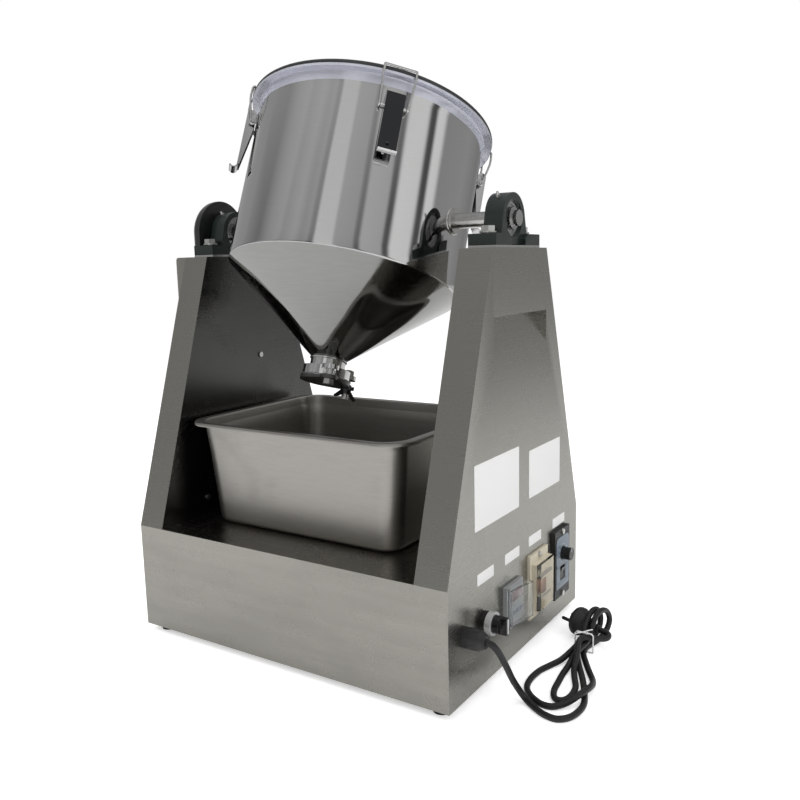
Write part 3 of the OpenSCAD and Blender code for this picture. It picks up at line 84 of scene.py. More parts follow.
def on_axis(point):
    """Distance from the leaned drum's axis and height along it."""
    p = np.array(point) - [0, 0, AXIS_Z]
    up = np.array([0, sin(LEAN), cos(LEAN)])
    height = p @ up
    return np.linalg.norm(p - height * up), height


def turned(points, angle):
    """Turns points about the vertical by the angle."""
    p = np.asarray(points, float)
    x = p[..., 0] * cos(angle) - p[..., 1] * sin(angle)
    y = p[..., 0] * sin(angle) + p[..., 1] * cos(angle)
    return np.stack([x, y, p[..., 2]], -1)


def grid_faces(rows, columns, round_rows=True):
    """Quads between neighbouring grid points, row by row. Each row is a closed ring, and so may be the rows."""
    i, j = np.meshgrid(np.arange(rows if round_rows else rows - 1), np.arange(columns), indexing="ij")
    i2, j2 = (i + 1) % rows, (j + 1) % columns
    quads = np.stack([i * columns + j, i2 * columns + j, i2 * columns + j2, i * columns + j2], -1)
    return quads.reshape(-1, 4)


def tube_faces(rows, columns):
    """Quads of an open stack of rings, and a face over each of its ends."""
    faces = grid_faces(rows, columns, False).tolist()
    last = (rows - 1) * columns
    return faces + [list(range(columns)), list(range(last, last + columns))]


def add_piece(name, parts, smooth=35):
    """Makes one object from parts, each a pair of points and faces, with normals turned outwards."""
    mesh = bpy.data.meshes.new(name)
    points, faces, start = [], [], 0
    for p, f in parts:
        p = np.asarray(p, float).reshape(-1, 3)
        points.append(p)
        faces.extend([[int(k) + start for k in face] for face in f])
        start += len(p)
    mesh.from_pydata(np.concatenate(points).tolist(), [], faces)
    mesh.update()
    bm = bmesh.new()
    bm.from_mesh(mesh)
    bmesh.ops.remove_doubles(bm, verts=bm.verts, dist=1e-6)
    bmesh.ops.recalc_face_normals(bm, faces=bm.faces)
    bm.to_mesh(mesh)
    bm.free()
    mesh.polygons.foreach_set("use_smooth", np.ones(len(mesh.polygons), bool))
    mesh.set_sharp_from_angle(angle=radians(smooth))
    obj = bpy.data.objects.new(name, mesh)
    bpy.context.scene.collection.objects.link(obj)
    return obj


def revolve(profile, segments):
    """Carries a profile of radius and height round the vertical: x = r cos t, y = r sin t, z = h."""
    profile = np.asarray(profile, float)
    t = np.linspace(0, 2 * pi, segments, endpoint=False)
    r, h = profile[:, 0][:, None], profile[:, 1][:, None]
    grid = np.stack([r * np.cos(t), r * np.sin(t), h + 0 * t], -1)
    return grid, grid_faces(len(profile), segments)


def arc(center, radius, start, end, count):
    """Points of an arc about a center from one angle to another, in degrees."""
    t = np.radians(np.linspace(start, end, count))
    return np.stack([center[0] + radius * np.cos(t), center[1] + radius * np.sin(t)], -1)


def frames_along(path):
    """Two side vectors carried along a path without twist."""
    d = np.gradient(path, axis=0)
    d /= np.linalg.norm(d, axis=1)[:, None]
    side = np.cross(d[0], [0.3, 0.9, 0.1])
    sides = []
    for t in d:
        side = side - t * (side @ t)
        side = side / np.linalg.norm(side)
        sides.append(side)
    a = np.array(sides)
    return a, np.cross(d, a)


def sweep(path, radius, sides=16):
    """A round section carried along a path: p + r (a cos t + b sin t), with r given once or per point."""
    path = np.asarray(path, float)
    a, b = frames_along(path)
    t = np.linspace(0, 2 * pi, sides, endpoint=False)
    r = np.broadcast_to(radius, (len(path),))[:, None, None]
    grid = path[:, None] + r * (a[:, None] * np.cos(t)[:, None] + b[:, None] * np.sin(t)[:, None])
    return grid, tube_faces(len(path), sides)


def spline(points, steps):
    """A smooth curve through points: each span is a cubic set by its two neighbours."""
    p = np.asarray(points, float)
    q = np.concatenate([p[:1], p, p[-1:]])
    a, b, c, d = q[:-3], q[1:-2], q[2:-1], q[3:]
    t = (np.arange(steps) / steps)[None, :, None]
    a, b, c, d = (v[:, None] for v in (a, b, c, d))
    out = (2 * b + (c - a) * t + (2 * a - 5 * b + 4 * c - d) * t**2 + (3 * b - a - 3 * c + d) * t**3) / 2
    return np.concatenate([out.reshape(-1, 3), p[-1:]])


def rounded_outline(width, height, radius, count=6):
    """A rectangle's outline with round corners, about its center."""
    w, h = width / 2 - radius, height / 2 - radius
    corners = [(w, h, 0), (-w, h, 90), (-w, -h, 180), (w, -h, 270)]
    return np.concatenate([arc((x, y), radius, a, a + 90, count) for x, y, a in corners])


def plate(outline, thick, edge):
    """A plate on a plane outline, its upper edge rolled in by a small radius: rings rise and draw in."""
    n = len(outline)
    t = np.radians([0, 30, 60, 90])
    rings = [np.column_stack([outline, np.zeros(n)])]
    size = np.abs(outline).max(0)
    for s in t:
        k = 1 - edge * (1 - np.cos(s)) / size
        rings.append(np.column_stack([outline * k, np.full(n, thick - edge * (1 - np.sin(s)))]))
    grid = np.array(rings)
    return grid, tube_faces(len(rings), n)


def on_side(points, y, z, x, tilt=0.0):
    """Lays a plate's points on the right cover: its width along Y, its height along Z, its rise along X."""
    p = np.asarray(points, float)
    u = p[..., 0] * cos(tilt) - p[..., 1] * sin(tilt)
    v = p[..., 0] * sin(tilt) + p[..., 1] * cos(tilt)
    return np.stack([x + p[..., 2], y + u, z + v], -1)


def eased_copy(node, name, width, segments=2):
    """A CAD node's mesh with its loose triangles merged and its sharp edges rounded."""
    mesh = NODES[node].data.copy()
    mesh.name = name
    bm = bmesh.new()
    bm.from_mesh(mesh)
    bmesh.ops.remove_doubles(bm, verts=bm.verts, dist=3e-6)
    bmesh.ops.dissolve_limit(bm, angle_limit=radians(0.5), verts=bm.verts, edges=bm.edges)
    bm.to_mesh(mesh)
    bm.free()
    mesh.materials.clear()
    mesh.polygons.foreach_set("use_smooth", np.ones(len(mesh.polygons), bool))
    mesh.set_sharp_from_angle(angle=radians(30))
    obj = bpy.data.objects.new(name, mesh)
    bpy.context.scene.collection.objects.link(obj)
    bevel = obj.modifiers.new("edge", "BEVEL")
    bevel.width = width
    bevel.segments = segments
    bevel.limit_method = "ANGLE"
    bevel.angle_limit = radians(40)
    bevel.harden_normals = True
    return obj


def settle(obj, slot, material, body=None, *nodes):
    """Gives a piece its finish and its body, and hides the CAD nodes that it stands for."""
    obj.data.materials.clear()
    obj.data.materials.append(finish(material))
    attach(obj, body or BODY_OF[nodes[0]])
    if nodes:
        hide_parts(*nodes)
    return obj


def eased(node, name, width, slot, material, segments=2):
    """Puts an eased copy in a CAD node's place."""
    return settle(eased_copy(node, name, width, segments), slot, material, None, node)


def second_finish(obj, material, chosen):
    """Gives the faces that a test picks a finish of their own."""
    obj.data.materials.append(finish(material))
    for face in obj.data.polygons:
        if chosen(face):
            face.material_index = len(obj.data.materials) - 1


# Shader groups and finishes

def new_group(name, inputs, outputs):
    """A shader node group with the given sockets, and its input and output nodes."""
    group = bpy.data.node_groups.new(name, "ShaderNodeTree")
    for label, kind, value in inputs:
        socket = group.interface.new_socket(label, in_out="INPUT", socket_type=kind)
        if value is not None:
            socket.default_value = value
    for label, kind in outputs:
        group.interface.new_socket(label, in_out="OUTPUT", socket_type=kind)
    return group, group.nodes.new("NodeGroupInput"), group.nodes.new("NodeGroupOutput")


def maths(tree, operation, a, b=None):
    """A math node whose inputs are sockets or numbers."""
    node = tree.nodes.new("ShaderNodeMath")
    node.operation = operation
    for k, value in enumerate((a, b)):
        if value is None:
            continue
        if isinstance(value, (int, float)):
            node.inputs[k].default_value = value
        else:
            tree.links.new(value, node.inputs[k])
    return node.outputs[0]


def grain_group():
    """Fine parallel scratches: noise stretched along the rolling direction, with a slower second layer."""
    if "Rolled grain" in bpy.data.node_groups:
        return bpy.data.node_groups["Rolled grain"]
    group, gin, gout = new_group("Rolled grain", [
        ("Vector", "NodeSocketVector", None), ("Stretch", "NodeSocketVector", (8.0, 8.0, 900.0)),
    ], [("Streak", "NodeSocketFloat"), ("Cloud", "NodeSocketFloat")])
    mapping = group.nodes.new("ShaderNodeMapping")
    fine = group.nodes.new("ShaderNodeTexNoise")
    fine.inputs["Scale"].default_value = 1.0
    fine.inputs["Detail"].default_value = 3.0
    slow = group.nodes.new("ShaderNodeTexNoise")
    slow.inputs["Scale"].default_value = 6.0
    slow.inputs["Detail"].default_value = 3.0
    group.links.new(gin.outputs["Vector"], mapping.inputs["Vector"])
    group.links.new(gin.outputs["Stretch"], mapping.inputs["Scale"])
    group.links.new(mapping.outputs[0], fine.inputs["Vector"])
    group.links.new(gin.outputs["Vector"], slow.inputs["Vector"])
    group.links.new(fine.outputs[0], gout.inputs["Streak"])
    group.links.new(slow.outputs[0], gout.inputs["Cloud"])
    return group


def skin_group():
    """The pebbled skin of a casting or a moulding: two noises of different scale added together."""
    if "Moulded skin" in bpy.data.node_groups:
        return bpy.data.node_groups["Moulded skin"]
    group, gin, gout = new_group("Moulded skin", [
        ("Vector", "NodeSocketVector", None), ("Scale", "NodeSocketFloat", 600.0),
    ], [("Height", "NodeSocketFloat"), ("Tone", "NodeSocketFloat")])
    small = group.nodes.new("ShaderNodeTexNoise")
    small.inputs["Detail"].default_value = 4.0
    large = group.nodes.new("ShaderNodeTexNoise")
    large.inputs["Detail"].default_value = 2.0
    group.links.new(gin.outputs["Vector"], small.inputs["Vector"])
    group.links.new(gin.outputs["Scale"], small.inputs["Scale"])
    group.links.new(gin.outputs["Vector"], large.inputs["Vector"])
    group.links.new(maths(group, "MULTIPLY", gin.outputs["Scale"], 0.12), large.inputs["Scale"])
    total = maths(group, "ADD", maths(group, "MULTIPLY", small.outputs[0], 0.5), large.outputs[0])
    group.links.new(total, gout.inputs["Height"])
    group.links.new(large.outputs[0], gout.inputs["Tone"])
    return group


def marks_group():
    """Smudges and dust: soft noise pushed through a narrow range, so that it comes in patches."""
    if "Handling marks" in bpy.data.node_groups:
        return bpy.data.node_groups["Handling marks"]
    group, gin, gout = new_group("Handling marks", [
        ("Vector", "NodeSocketVector", None), ("Scale", "NodeSocketFloat", 12.0),
        ("Amount", "NodeSocketFloat", 0.5),
    ], [("Mask", "NodeSocketFloat")])
    noise = group.nodes.new("ShaderNodeTexNoise")
    noise.inputs["Detail"].default_value = 6.0
    noise.inputs["Roughness"].default_value = 0.62
    noise.inputs["Distortion"].default_value = 0.6
    span = group.nodes.new("ShaderNodeMapRange")
    span.inputs["From Min"].default_value = 0.48
    span.inputs["From Max"].default_value = 0.72
    group.links.new(gin.outputs["Vector"], noise.inputs["Vector"])
    group.links.new(gin.outputs["Scale"], noise.inputs["Scale"])
    group.links.new(noise.outputs[0], span.inputs["Value"])
    group.links.new(maths(group, "MULTIPLY", span.outputs[0], gin.outputs["Amount"]), gout.inputs["Mask"])
    return group


# Each finish: color, metallic, roughness, then what its surface shows
FINISHES = {
    "frame_sheet": dict(color=(0.355, 0.35, 0.32), metal=1.0, rough=0.27, stretch=(5, 5, 1100),
        streak=0.05, bump=0.0000025, marks=0.04),
    # Painted shade: the left tower's inner wall, the same sheet steel made near black
    "inner_wall_painted_shade": dict(color=(0.11, 0.11, 0.105), metal=1.0, rough=0.25, stretch=(5, 5, 1100),
        streak=0.14, bump=0.000014, marks=0.14),
    "deck_sheet": dict(color=(0.34, 0.33, 0.30), metal=1.0, rough=0.26, stretch=(6, 900, 60), streak=0.14,
        bump=0.00002, marks=0.14),
    "mirror_steel": dict(color=(0.58, 0.58, 0.575), metal=1.0, rough=0.05, stretch=(40, 40, 700),
        streak=0.03, bump=0.000004, marks=0.05, wave=(5.0, 0.0013)),
    # Painted shade: the drum's downward cone, the same polished steel as the wall made darker
    "cone_painted_shade": dict(color=(0.31, 0.31, 0.30), metal=1.0, rough=0.06, stretch=(40, 40, 500), streak=0.08,
        bump=0.00001, marks=0.08, wave=(9.0, 0.004)),
    # Painted reflection: the drum's rolled rim, a pale lavender half-metal tint in place of the bright
    # surroundings that the polished rim mirrors
    "rim_painted_reflection": dict(color=(0.56, 0.57, 0.64), metal=0.5, rough=0.22, marks=0.06),
    "lid_sheet": dict(color=(0.40, 0.40, 0.44), metal=1.0, rough=0.20, stretch=(60, 60, 300), streak=0.06,
        bump=0.00001, marks=0.08),
    # Painted shade: the lid's rolled edge, the same sheet as the lid made near black
    "lid_edge_painted_shade": dict(color=(0.075, 0.078, 0.08), metal=0.9, rough=0.30, stretch=(60, 60, 300), streak=0.08,
        bump=0.00001, marks=0.08),
    "tray_sheet": dict(color=(0.40, 0.385, 0.36), metal=1.0, rough=0.36, stretch=(30, 30, 500),
        streak=0.10, bump=0.00001, marks=0.18),
    "turned_steel": dict(color=(0.56, 0.555, 0.54), metal=1.0, rough=0.22, stretch=(700, 90, 90),
        streak=0.12, bump=0.00001, marks=0.12),
    "wire_steel": dict(color=(0.62, 0.62, 0.61), metal=1.0, rough=0.14, stretch=(90, 90, 90), streak=0.05,
        bump=0.000005, marks=0.08),
    # Painted reflection: the levers' flat outward faces, the same polished steel made near black as a dark
    # reflection
    "lever_face_painted_reflection": dict(color=(0.05, 0.052, 0.055), metal=1.0, rough=0.10, marks=0.10),
    "lever_steel": dict(color=(0.62, 0.62, 0.615), metal=1.0, rough=0.12, stretch=(60, 60, 60),
        streak=0.05, bump=0.000008, marks=0.10),
    "zinc": dict(color=(0.60, 0.60, 0.58), metal=1.0, rough=0.28, skin=900, relief=0.00003, marks=0.2),
    "ground_steel": dict(color=(0.45, 0.45, 0.45), metal=1.0, rough=0.18, stretch=(500, 60, 60),
        streak=0.1, bump=0.00001, marks=0.1),
    "dark_steel": dict(color=(0.10, 0.10, 0.095), metal=0.9, rough=0.34, skin=500, relief=0.00005, marks=0.3),
    "cast_green": dict(color=(0.006, 0.012, 0.0105), rough=0.36, skin=420, relief=0.00012, marks=0.10,
        coat=0.25),
    "guard_enamel": dict(color=(0.012, 0.013, 0.013), rough=0.30, skin=350, relief=0.00007, marks=0.12,
        coat=0.3),
    "black_plastic": dict(color=(0.014, 0.014, 0.015), rough=0.42, skin=1500, relief=0.00003, marks=0.10),
    "knob_black": dict(color=(0.008, 0.008, 0.008), rough=0.24, skin=1200, relief=0.00001, marks=0.08),
    "satin_ring": dict(color=(0.55, 0.55, 0.55), metal=0.4, rough=0.25, marks=0.05),
    "timer_plastic": dict(color=(0.035, 0.036, 0.038), rough=0.40, skin=1500, relief=0.00003, marks=0.08),
    "timer_key": dict(color=(0.13, 0.16, 0.20), rough=0.45, skin=1500, relief=0.00002, marks=0.08),
    "timer_grey": dict(color=(0.26, 0.27, 0.27), rough=0.42, skin=1500, relief=0.00002, marks=0.08),
    "display_red": dict(color=(0.10, 0.006, 0.006), rough=0.12, coat=0.6, marks=0.04),
    "relay_parts": dict(color=(0.30, 0.28, 0.23), rough=0.40, skin=900, relief=0.00002, marks=0.1),
    "relay_beige": dict(color=(0.60, 0.55, 0.44), rough=0.40, skin=900, relief=0.00002, marks=0.12),
    "controller_face": dict(color=(0.17, 0.21, 0.25), rough=0.35, skin=1600, relief=0.00001, marks=0.08),
    "scale_white": dict(color=(0.70, 0.71, 0.72), rough=0.5, marks=0.05),
    "label_white": dict(color=(0.78, 0.78, 0.775), rough=0.55, marks=0.02),
    "coil_copper": dict(color=(0.36, 0.20, 0.14), metal=1.0, rough=0.3, stretch=(10, 10, 2500), streak=0.3,
        bump=0.00004),
    "gearbox_grey": dict(color=(0.16, 0.175, 0.19), rough=0.42, skin=380, relief=0.00012, marks=0.15),
    "motor_paint": dict(color=(0.035, 0.06, 0.085), rough=0.40, skin=700, relief=0.00005, marks=0.12),
    "belt_rubber": dict(color=(0.010, 0.010, 0.010), rough=0.7, skin=900, relief=0.00005, marks=0.15),
    "foot_rubber": dict(color=(0.012, 0.012, 0.012), rough=0.65, skin=800, relief=0.00005, marks=0.2),
    "cord_sheath": dict(color=(0.007, 0.007, 0.0075), rough=0.38, skin=1100, relief=0.00002, marks=0.10),
    "tie_white": dict(color=(0.82, 0.82, 0.81), rough=0.45, skin=900, relief=0.00001, marks=0.05),
    "gasket_white": dict(color=(0.72, 0.73, 0.76), rough=0.4, skin=500, relief=0.00002, marks=0.1),
    "can_aluminium": dict(color=(0.66, 0.66, 0.66), metal=1.0, rough=0.3, stretch=(300, 300, 20),
        streak=0.1, bump=0.00001),
    "clear_flap": dict(color=(0.93, 0.95, 0.96), rough=0.05, clear=1.0, marks=0.05),
    "clear_cover": dict(color=(0.92, 0.89, 0.80), rough=0.08, clear=1.0, marks=0.06),
}


def finish(name):
    """Builds a finish once: color and roughness vary with grain, skin and marks, and the relief is a bump."""
    label = "mixer_" + name
    if label in bpy.data.materials:
        return bpy.data.materials[label]
    look = FINISHES[name]
    material = bpy.data.materials.new(label)
    material.use_nodes = True
    tree = material.node_tree
    bsdf = tree.nodes["Principled BSDF"]
    coords = tree.nodes.new("ShaderNodeTexCoord").outputs["Object"]
    color, rough = look["color"], look["rough"]
    bsdf.inputs["Metallic"].default_value = look.get("metal", 0.0)
    bsdf.inputs["Roughness"].default_value = rough
    bsdf.inputs["Base Color"].default_value = (*color, 1)
    if look.get("coat"):
        bsdf.inputs["Coat Weight"].default_value = look["coat"]
        bsdf.inputs["Coat Roughness"].default_value = 0.12
    if look.get("clear"):
        bsdf.inputs["Transmission Weight"].default_value = look["clear"]
        bsdf.inputs["IOR"].default_value = 1.49
    shade, height, depth = None, None, 0.0
    if "stretch" in look:
        node = tree.nodes.new("ShaderNodeGroup")
        node.node_tree = grain_group()
        node.inputs["Stretch"].default_value = look["stretch"]
        tree.links.new(coords, node.inputs["Vector"])
        fine, slow = (maths(tree, "SUBTRACT", node.outputs[key], 0.5) for key in ("Streak", "Cloud"))
        streak = maths(tree, "MULTIPLY", fine, look["streak"] * 2)
        cloud = maths(tree, "MULTIPLY", slow, look["streak"])
        shade = maths(tree, "ADD", streak, cloud)
        height, depth = node.outputs["Streak"], look["bump"]
    if "skin" in look:
        node = tree.nodes.new("ShaderNodeGroup")
        node.node_tree = skin_group()
        node.inputs["Scale"].default_value = look["skin"]
        tree.links.new(coords, node.inputs["Vector"])
        shade = maths(tree, "MULTIPLY", maths(tree, "SUBTRACT", node.outputs["Tone"], 0.5), 0.35)
        height, depth = node.outputs["Height"], look["relief"]
    mask = None
    if look.get("marks"):
        node = tree.nodes.new("ShaderNodeGroup")
        node.node_tree = marks_group()
        node.inputs["Amount"].default_value = look["marks"]
        tree.links.new(coords, node.inputs["Vector"])
        mask = node.outputs["Mask"]
    if shade is not None or mask is not None:
        value = maths(tree, "ADD", shade if shade is not None else 0.0, 1.0)
        if mask is not None:
            value = maths(tree, "SUBTRACT", value, maths(tree, "MULTIPLY", mask, 0.35))
            total = maths(tree, "ADD", maths(tree, "MULTIPLY", mask, 0.5), rough)
            if shade is not None:
                total = maths(tree, "ADD", total, maths(tree, "MULTIPLY", shade, 0.25))
            tree.links.new(maths(tree, "MAXIMUM", total, 0.02), bsdf.inputs["Roughness"])
        tint = tree.nodes.new("ShaderNodeVectorMath")
        tint.operation = "SCALE"
        tint.inputs[0].default_value = color
        tree.links.new(value, tint.inputs["Scale"])
        tree.links.new(tint.outputs[0], bsdf.inputs["Base Color"])
    normal = None
    if "wave" in look:
        noise = tree.nodes.new("ShaderNodeTexNoise")
        noise.inputs["Scale"].default_value = look["wave"][0]
        noise.inputs["Detail"].default_value = 1.0
        tree.links.new(coords, noise.inputs["Vector"])
        wave = tree.nodes.new("ShaderNodeBump")
        wave.inputs["Distance"].default_value = look["wave"][1]
        tree.links.new(noise.outputs[0], wave.inputs["Height"])
        normal = wave.outputs[0]
    if height is not None:
        bump = tree.nodes.new("ShaderNodeBump")
        bump.inputs["Distance"].default_value = depth
        tree.links.new(height, bump.inputs["Height"])
        if normal is not None:
            tree.links.new(normal, bump.inputs["Normal"])
        normal = bump.outputs[0]
    if normal is not None:
        tree.links.new(normal, bsdf.inputs["Normal"])
    return material


# What a user would change

class MixerSizes(bpy.types.PropertyGroup):
    """Small sizes of the fine shapes."""
    sheet_edge: bpy.props.FloatProperty(
        name="Sheet edge", description="Rounding of the folded sheets' edges", default=0.0009,
        min=0.0, unit="LENGTH",
    )
    small_edge: bpy.props.FloatProperty(
        name="Small edge", description="Rounding of moulded and turned edges", default=0.0005,
        min=0.0, unit="LENGTH",
    )
    drum_bend: bpy.props.FloatProperty(
        name="Drum bend", description="Rounding between the drum and its cone", default=0.004,
        min=0.0005, unit="LENGTH",
    )
    weld_bead: bpy.props.FloatProperty(
        name="Weld bead", description="Radius of the weld beads", default=0.0016, min=0.0003,
        unit="LENGTH",
    )
    label_thick: bpy.props.FloatProperty(
        name="Label thickness", description="Thickness of the blank stickers", default=0.0003,
        min=0.0001, unit="LENGTH",
    )
    cord_sides: bpy.props.IntProperty(
        name="Cord sides", description="Faces round the power cord", default=16, min=8,
    )


class MixerColors(bpy.types.PropertyGroup):
    """Colors of the surroundings."""
    floor: bpy.props.FloatVectorProperty(
        name="Floor", description="Color of the pale floor", default=(0.86, 0.86, 0.86), size=3,
        subtype="COLOR",
    )
    surround: bpy.props.FloatProperty(
        name="Surround", description="Level of the studio that lights the mixer", default=0.62,
        min=0.0,
    )


class MixerPiece:
    """Shared by the operators: each reads the sizes of the scene and finishes in one step."""
    bl_options = {"REGISTER", "UNDO"}

    def execute(self, context):
        self.build(context.scene.mixer_sizes, context.scene.mixer_colors)
        return {"FINISHED"}


# Operators, one for each group of pieces

def plain_nodes(pairs):
    """Gives CAD nodes whose shape is right a finish each."""
    for material, names in pairs.items():
        for name in names.split():
            for slot in NODES[name].material_slots:
                slot.material = finish(material)


class MIXER_OT_frame(MixerPiece, bpy.types.Operator):
    """Folded sheets of the stand with rounded edges, and its feet"""
    bl_idname = "mixer.stand"
    bl_label = "Stand"

    def build(self, sizes, colors):
        for node in ("left_tower", "right_tower", "left_side_cover", "right_side_cover", "drive_cover"):
            sheet = eased(node, node + "_sheet", sizes.sheet_edge, "sheet_steel", "frame_sheet")
            if node == "left_tower":
                # The inner wall faces get the near-black finish: painted shade between tower and drum
                second_finish(sheet, "inner_wall_painted_shade", lambda f: f.normal.x > 0.9 and f.center.x > INNER_WALL_X)
        eased("base_shell", "base_sheet", sizes.sheet_edge, "sheet_steel", "deck_sheet")
        eased("belt_guard", "guard_cast", sizes.small_edge, "guard_black", "guard_enamel")
        plain_nodes({"deck_sheet": "bottom_plate motor_bracket", "foot_rubber": "feet"})


class MIXER_OT_bearings(MixerPiece, bpy.types.Operator):
    """Bearing blocks, packing, bolts and nipples"""
    bl_idname = "mixer.bearings"
    bl_label = "Bearing blocks"

    def build(self, sizes, colors):
        eased("bearing_housings", "housing_castings", 0.0014, "cast_green", "cast_green", 3)
        eased("bearing_bolts", "block_bolts", sizes.small_edge, "zinc", "zinc")
        eased("packing_plates", "packing_steel", sizes.small_edge, "turned_steel", "turned_steel")
        plain_nodes({
            "zinc": "grease_nipples panel_screws", "ground_steel": "bearing_outer_rings bearing_inner_rings",
        })


class MIXER_OT_drive(MixerPiece, bpy.types.Operator):
    """Gearbox, motor, pulleys and belt inside the stand"""
    bl_idname = "mixer.drive"
    bl_label = "Drive"

    def build(self, sizes, colors):
        plain_nodes({
            "gearbox_grey": "gearbox drum_pulley motor_pulley", "motor_paint": "motor",
            "turned_steel": "output_shaft", "belt_rubber": "drive_belt",
            "black_plastic": "terminal_block", "can_aluminium": "capacitor",
        })


class MIXER_OT_drum(MixerPiece, bpy.types.Operator):
    """Mirror-polished drum: one turned wall with a rolled rim, a soft bend and a cone, and its shafts"""
    bl_idname = "mixer.drum"
    bl_label = "Drum"

    def build(self, sizes, colors):
        outer = self.wall(sizes.drum_bend)
        mirror = add_piece("drum_mirror", [self.lean(revolve(outer, 288))], 30)
        wall = settle(mirror, "polished_steel", "mirror_steel", None, "drum_shell")
        # The cone below the bend gets a darker copy of the mirror finish as painted shade
        second_finish(wall, "cone_painted_shade", lambda face: on_axis(face.center)[1] < CONE_TOP_Z)
        # The rolled rim above the flare gets the pale tint as a painted reflection
        second_finish(wall, "rim_painted_reflection", lambda face: on_axis(face.center)[1] > FLARE_Z)
        beads = [self.saddle(side, sizes.weld_bead) for side in (-1, 1)]
        neck = revolve(arc((0.0242, -0.1935), sizes.weld_bead, 0, 360, 13)[:-1], 96)
        settle(add_piece("drum_welds", beads + [self.lean(neck)]), "turned_steel", "turned_steel", "drum")
        eased("outlet_ferrule", "outlet_ring", sizes.small_edge, "turned_steel", "lever_steel")
        eased("gate_fasteners", "gate_bolts", 0.0003, "turned_steel", "zinc")
        eased("outlet_gate", "gate_blade", 0.0004, "dark_steel", "dark_steel")
        eased("wing_nut", "wing_grip", 0.0006, "knob_black", "knob_black", 3)
        plain_nodes({
            "turned_steel": "stub_shafts trunnion_collars", "gasket_white": "gate_gasket lid_gasket",
        })

    @staticmethod
    def lean(part):
        return leaned(part[0]), part[1]

    @staticmethod
    def wall(bend):
        """Outline of the wall: outside from the neck up to the rolled rim, then inside back down."""
        t, neck, neck_z, cone_z = 0.0012, 0.024, -0.192, -0.084
        slope = atan2(cone_z - neck_z, DRUM_R - neck)
        half = (pi / 2 - slope) / 2
        outside = [[neck, neck_z]]
        cx, cz = DRUM_R - bend, cone_z + bend * tan(half)
        start = np.degrees(slope) - 90
        outside += arc((cx, cz), bend, start, 0, 9).tolist()
        outside += [[DRUM_R, z] for z in np.linspace(-0.07, 0.130, 30)]
        outside += arc((0.171, 0.135), 0.012, 180, 90, 8)[1:].tolist()
        outside += arc((0.1704, 0.1414), 0.0006, 0, 90, 4).tolist()
        inside = [
            [DRUM_R + 0.004, SEAT_Z], [DRUM_R - t + 0.002, SEAT_Z - 0.0003], [DRUM_R - t, SEAT_Z - 0.003],
        ]
        inside += [[DRUM_R - t, z] for z in np.linspace(0.130, -0.078, 20)]
        inside += [[DRUM_R - t - 0.002, -0.0865], [neck - 0.0016, neck_z]]
        return np.array(outside + inside)

    @staticmethod
    def saddle(side, radius):
        """A weld bead where a collar meets the leaned drum wall, with small ripples along it."""
        t = np.linspace(0, 2 * pi, 97)[:-1]
        collar = 0.0165
        y, z = collar * np.cos(t), collar * np.sin(t)
        up = y * sin(LEAN) + z * cos(LEAN)
        across = y * cos(LEAN) - z * sin(LEAN)
        x = side * np.sqrt((DRUM_R + 0.0004) ** 2 - across**2)
        path = np.stack([x, y, z + AXIS_Z], -1)
        d = np.roll(path, -1, 0) - np.roll(path, 1, 0)
        d /= np.linalg.norm(d, axis=1)[:, None]
        a = np.cross(d, [1.0, 0, 0])
        a /= np.linalg.norm(a, axis=1)[:, None]
        b = np.cross(d, a)
        s = np.linspace(0, 2 * pi, 10, endpoint=False)
        r = (radius * (1 + 0.12 * np.sin(24 * t)))[:, None, None]
        grid = path[:, None] + r * (a[:, None] * np.cos(s)[:, None] + b[:, None] * np.sin(s)[:, None])
        return grid, grid_faces(len(t), len(s))


class MIXER_OT_lid(MixerPiece, bpy.types.Operator):
    """Lid with its rolled edge, step and low dome, and the rod handle"""
    bl_idname = "mixer.lid"
    bl_label = "Lid"

    def build(self, sizes, colors):
        z, t, edge_r = 0.1443, 0.0012, 0.1615
        profile = [
            (0.0005, 0.015), (0.085, 0.015), (0.137, 0.007), (0.1385, 0.0066),
            (0.1435, 0.0008), (0.145, 0), (0.1625, 0),
        ]
        upper = [[r, z + h + t] for r, h in profile]
        bead = arc((0.167, 0.1468), 0.0045, 150, -150, 25).tolist()
        lower = [[r, z + h] for r, h in reversed(profile)]
        grid, faces = revolve(np.array(upper + bead + lower), 256)
        sheet = add_piece("lid_shell", [(leaned(grid), faces)], 32)
        shell = settle(sheet, "lid_steel", "lid_sheet", None, "lid")
        # The rolled edge beyond edge_r gets the near-black finish as painted shade
        second_finish(shell, "lid_edge_painted_shade", lambda face: on_axis(face.center)[0] > edge_r)
        top, rod, half, foot, turn = 0.1905, 0.004, 0.051, 0.1605, 0.016
        side = [[half, 0, foot], [half, 0, foot + 0.006], [half, 0, top - turn]]
        angles = np.radians(np.arange(10, 91, 10))
        bend = [[half - turn * (1 - cos(a)), 0, top - turn * (1 - sin(a))] for a in angles]
        path = np.array(side + bend)
        path = np.concatenate([path, (path * [-1, 1, 1])[::-1]])
        parts = [sweep(path, rod, 20)]
        for s in (-1, 1):
            disc = np.array([
                [0.0005, 0], [0.013, 0], [0.013, 0.0014], [0.0124, 0.002],
                [0.0066, 0.002], [0.005, 0.0032], [0.0041, 0.0052], [0.0005, 0.0052],
            ])
            p, f = revolve(disc, 64)
            parts.append((p + [s * half, 0, foot], f))
        grip = add_piece("lid_grip", [(leaned(p), f) for p, f in parts])
        settle(grip, "turned_steel", "wire_steel", None, "lid_handle")


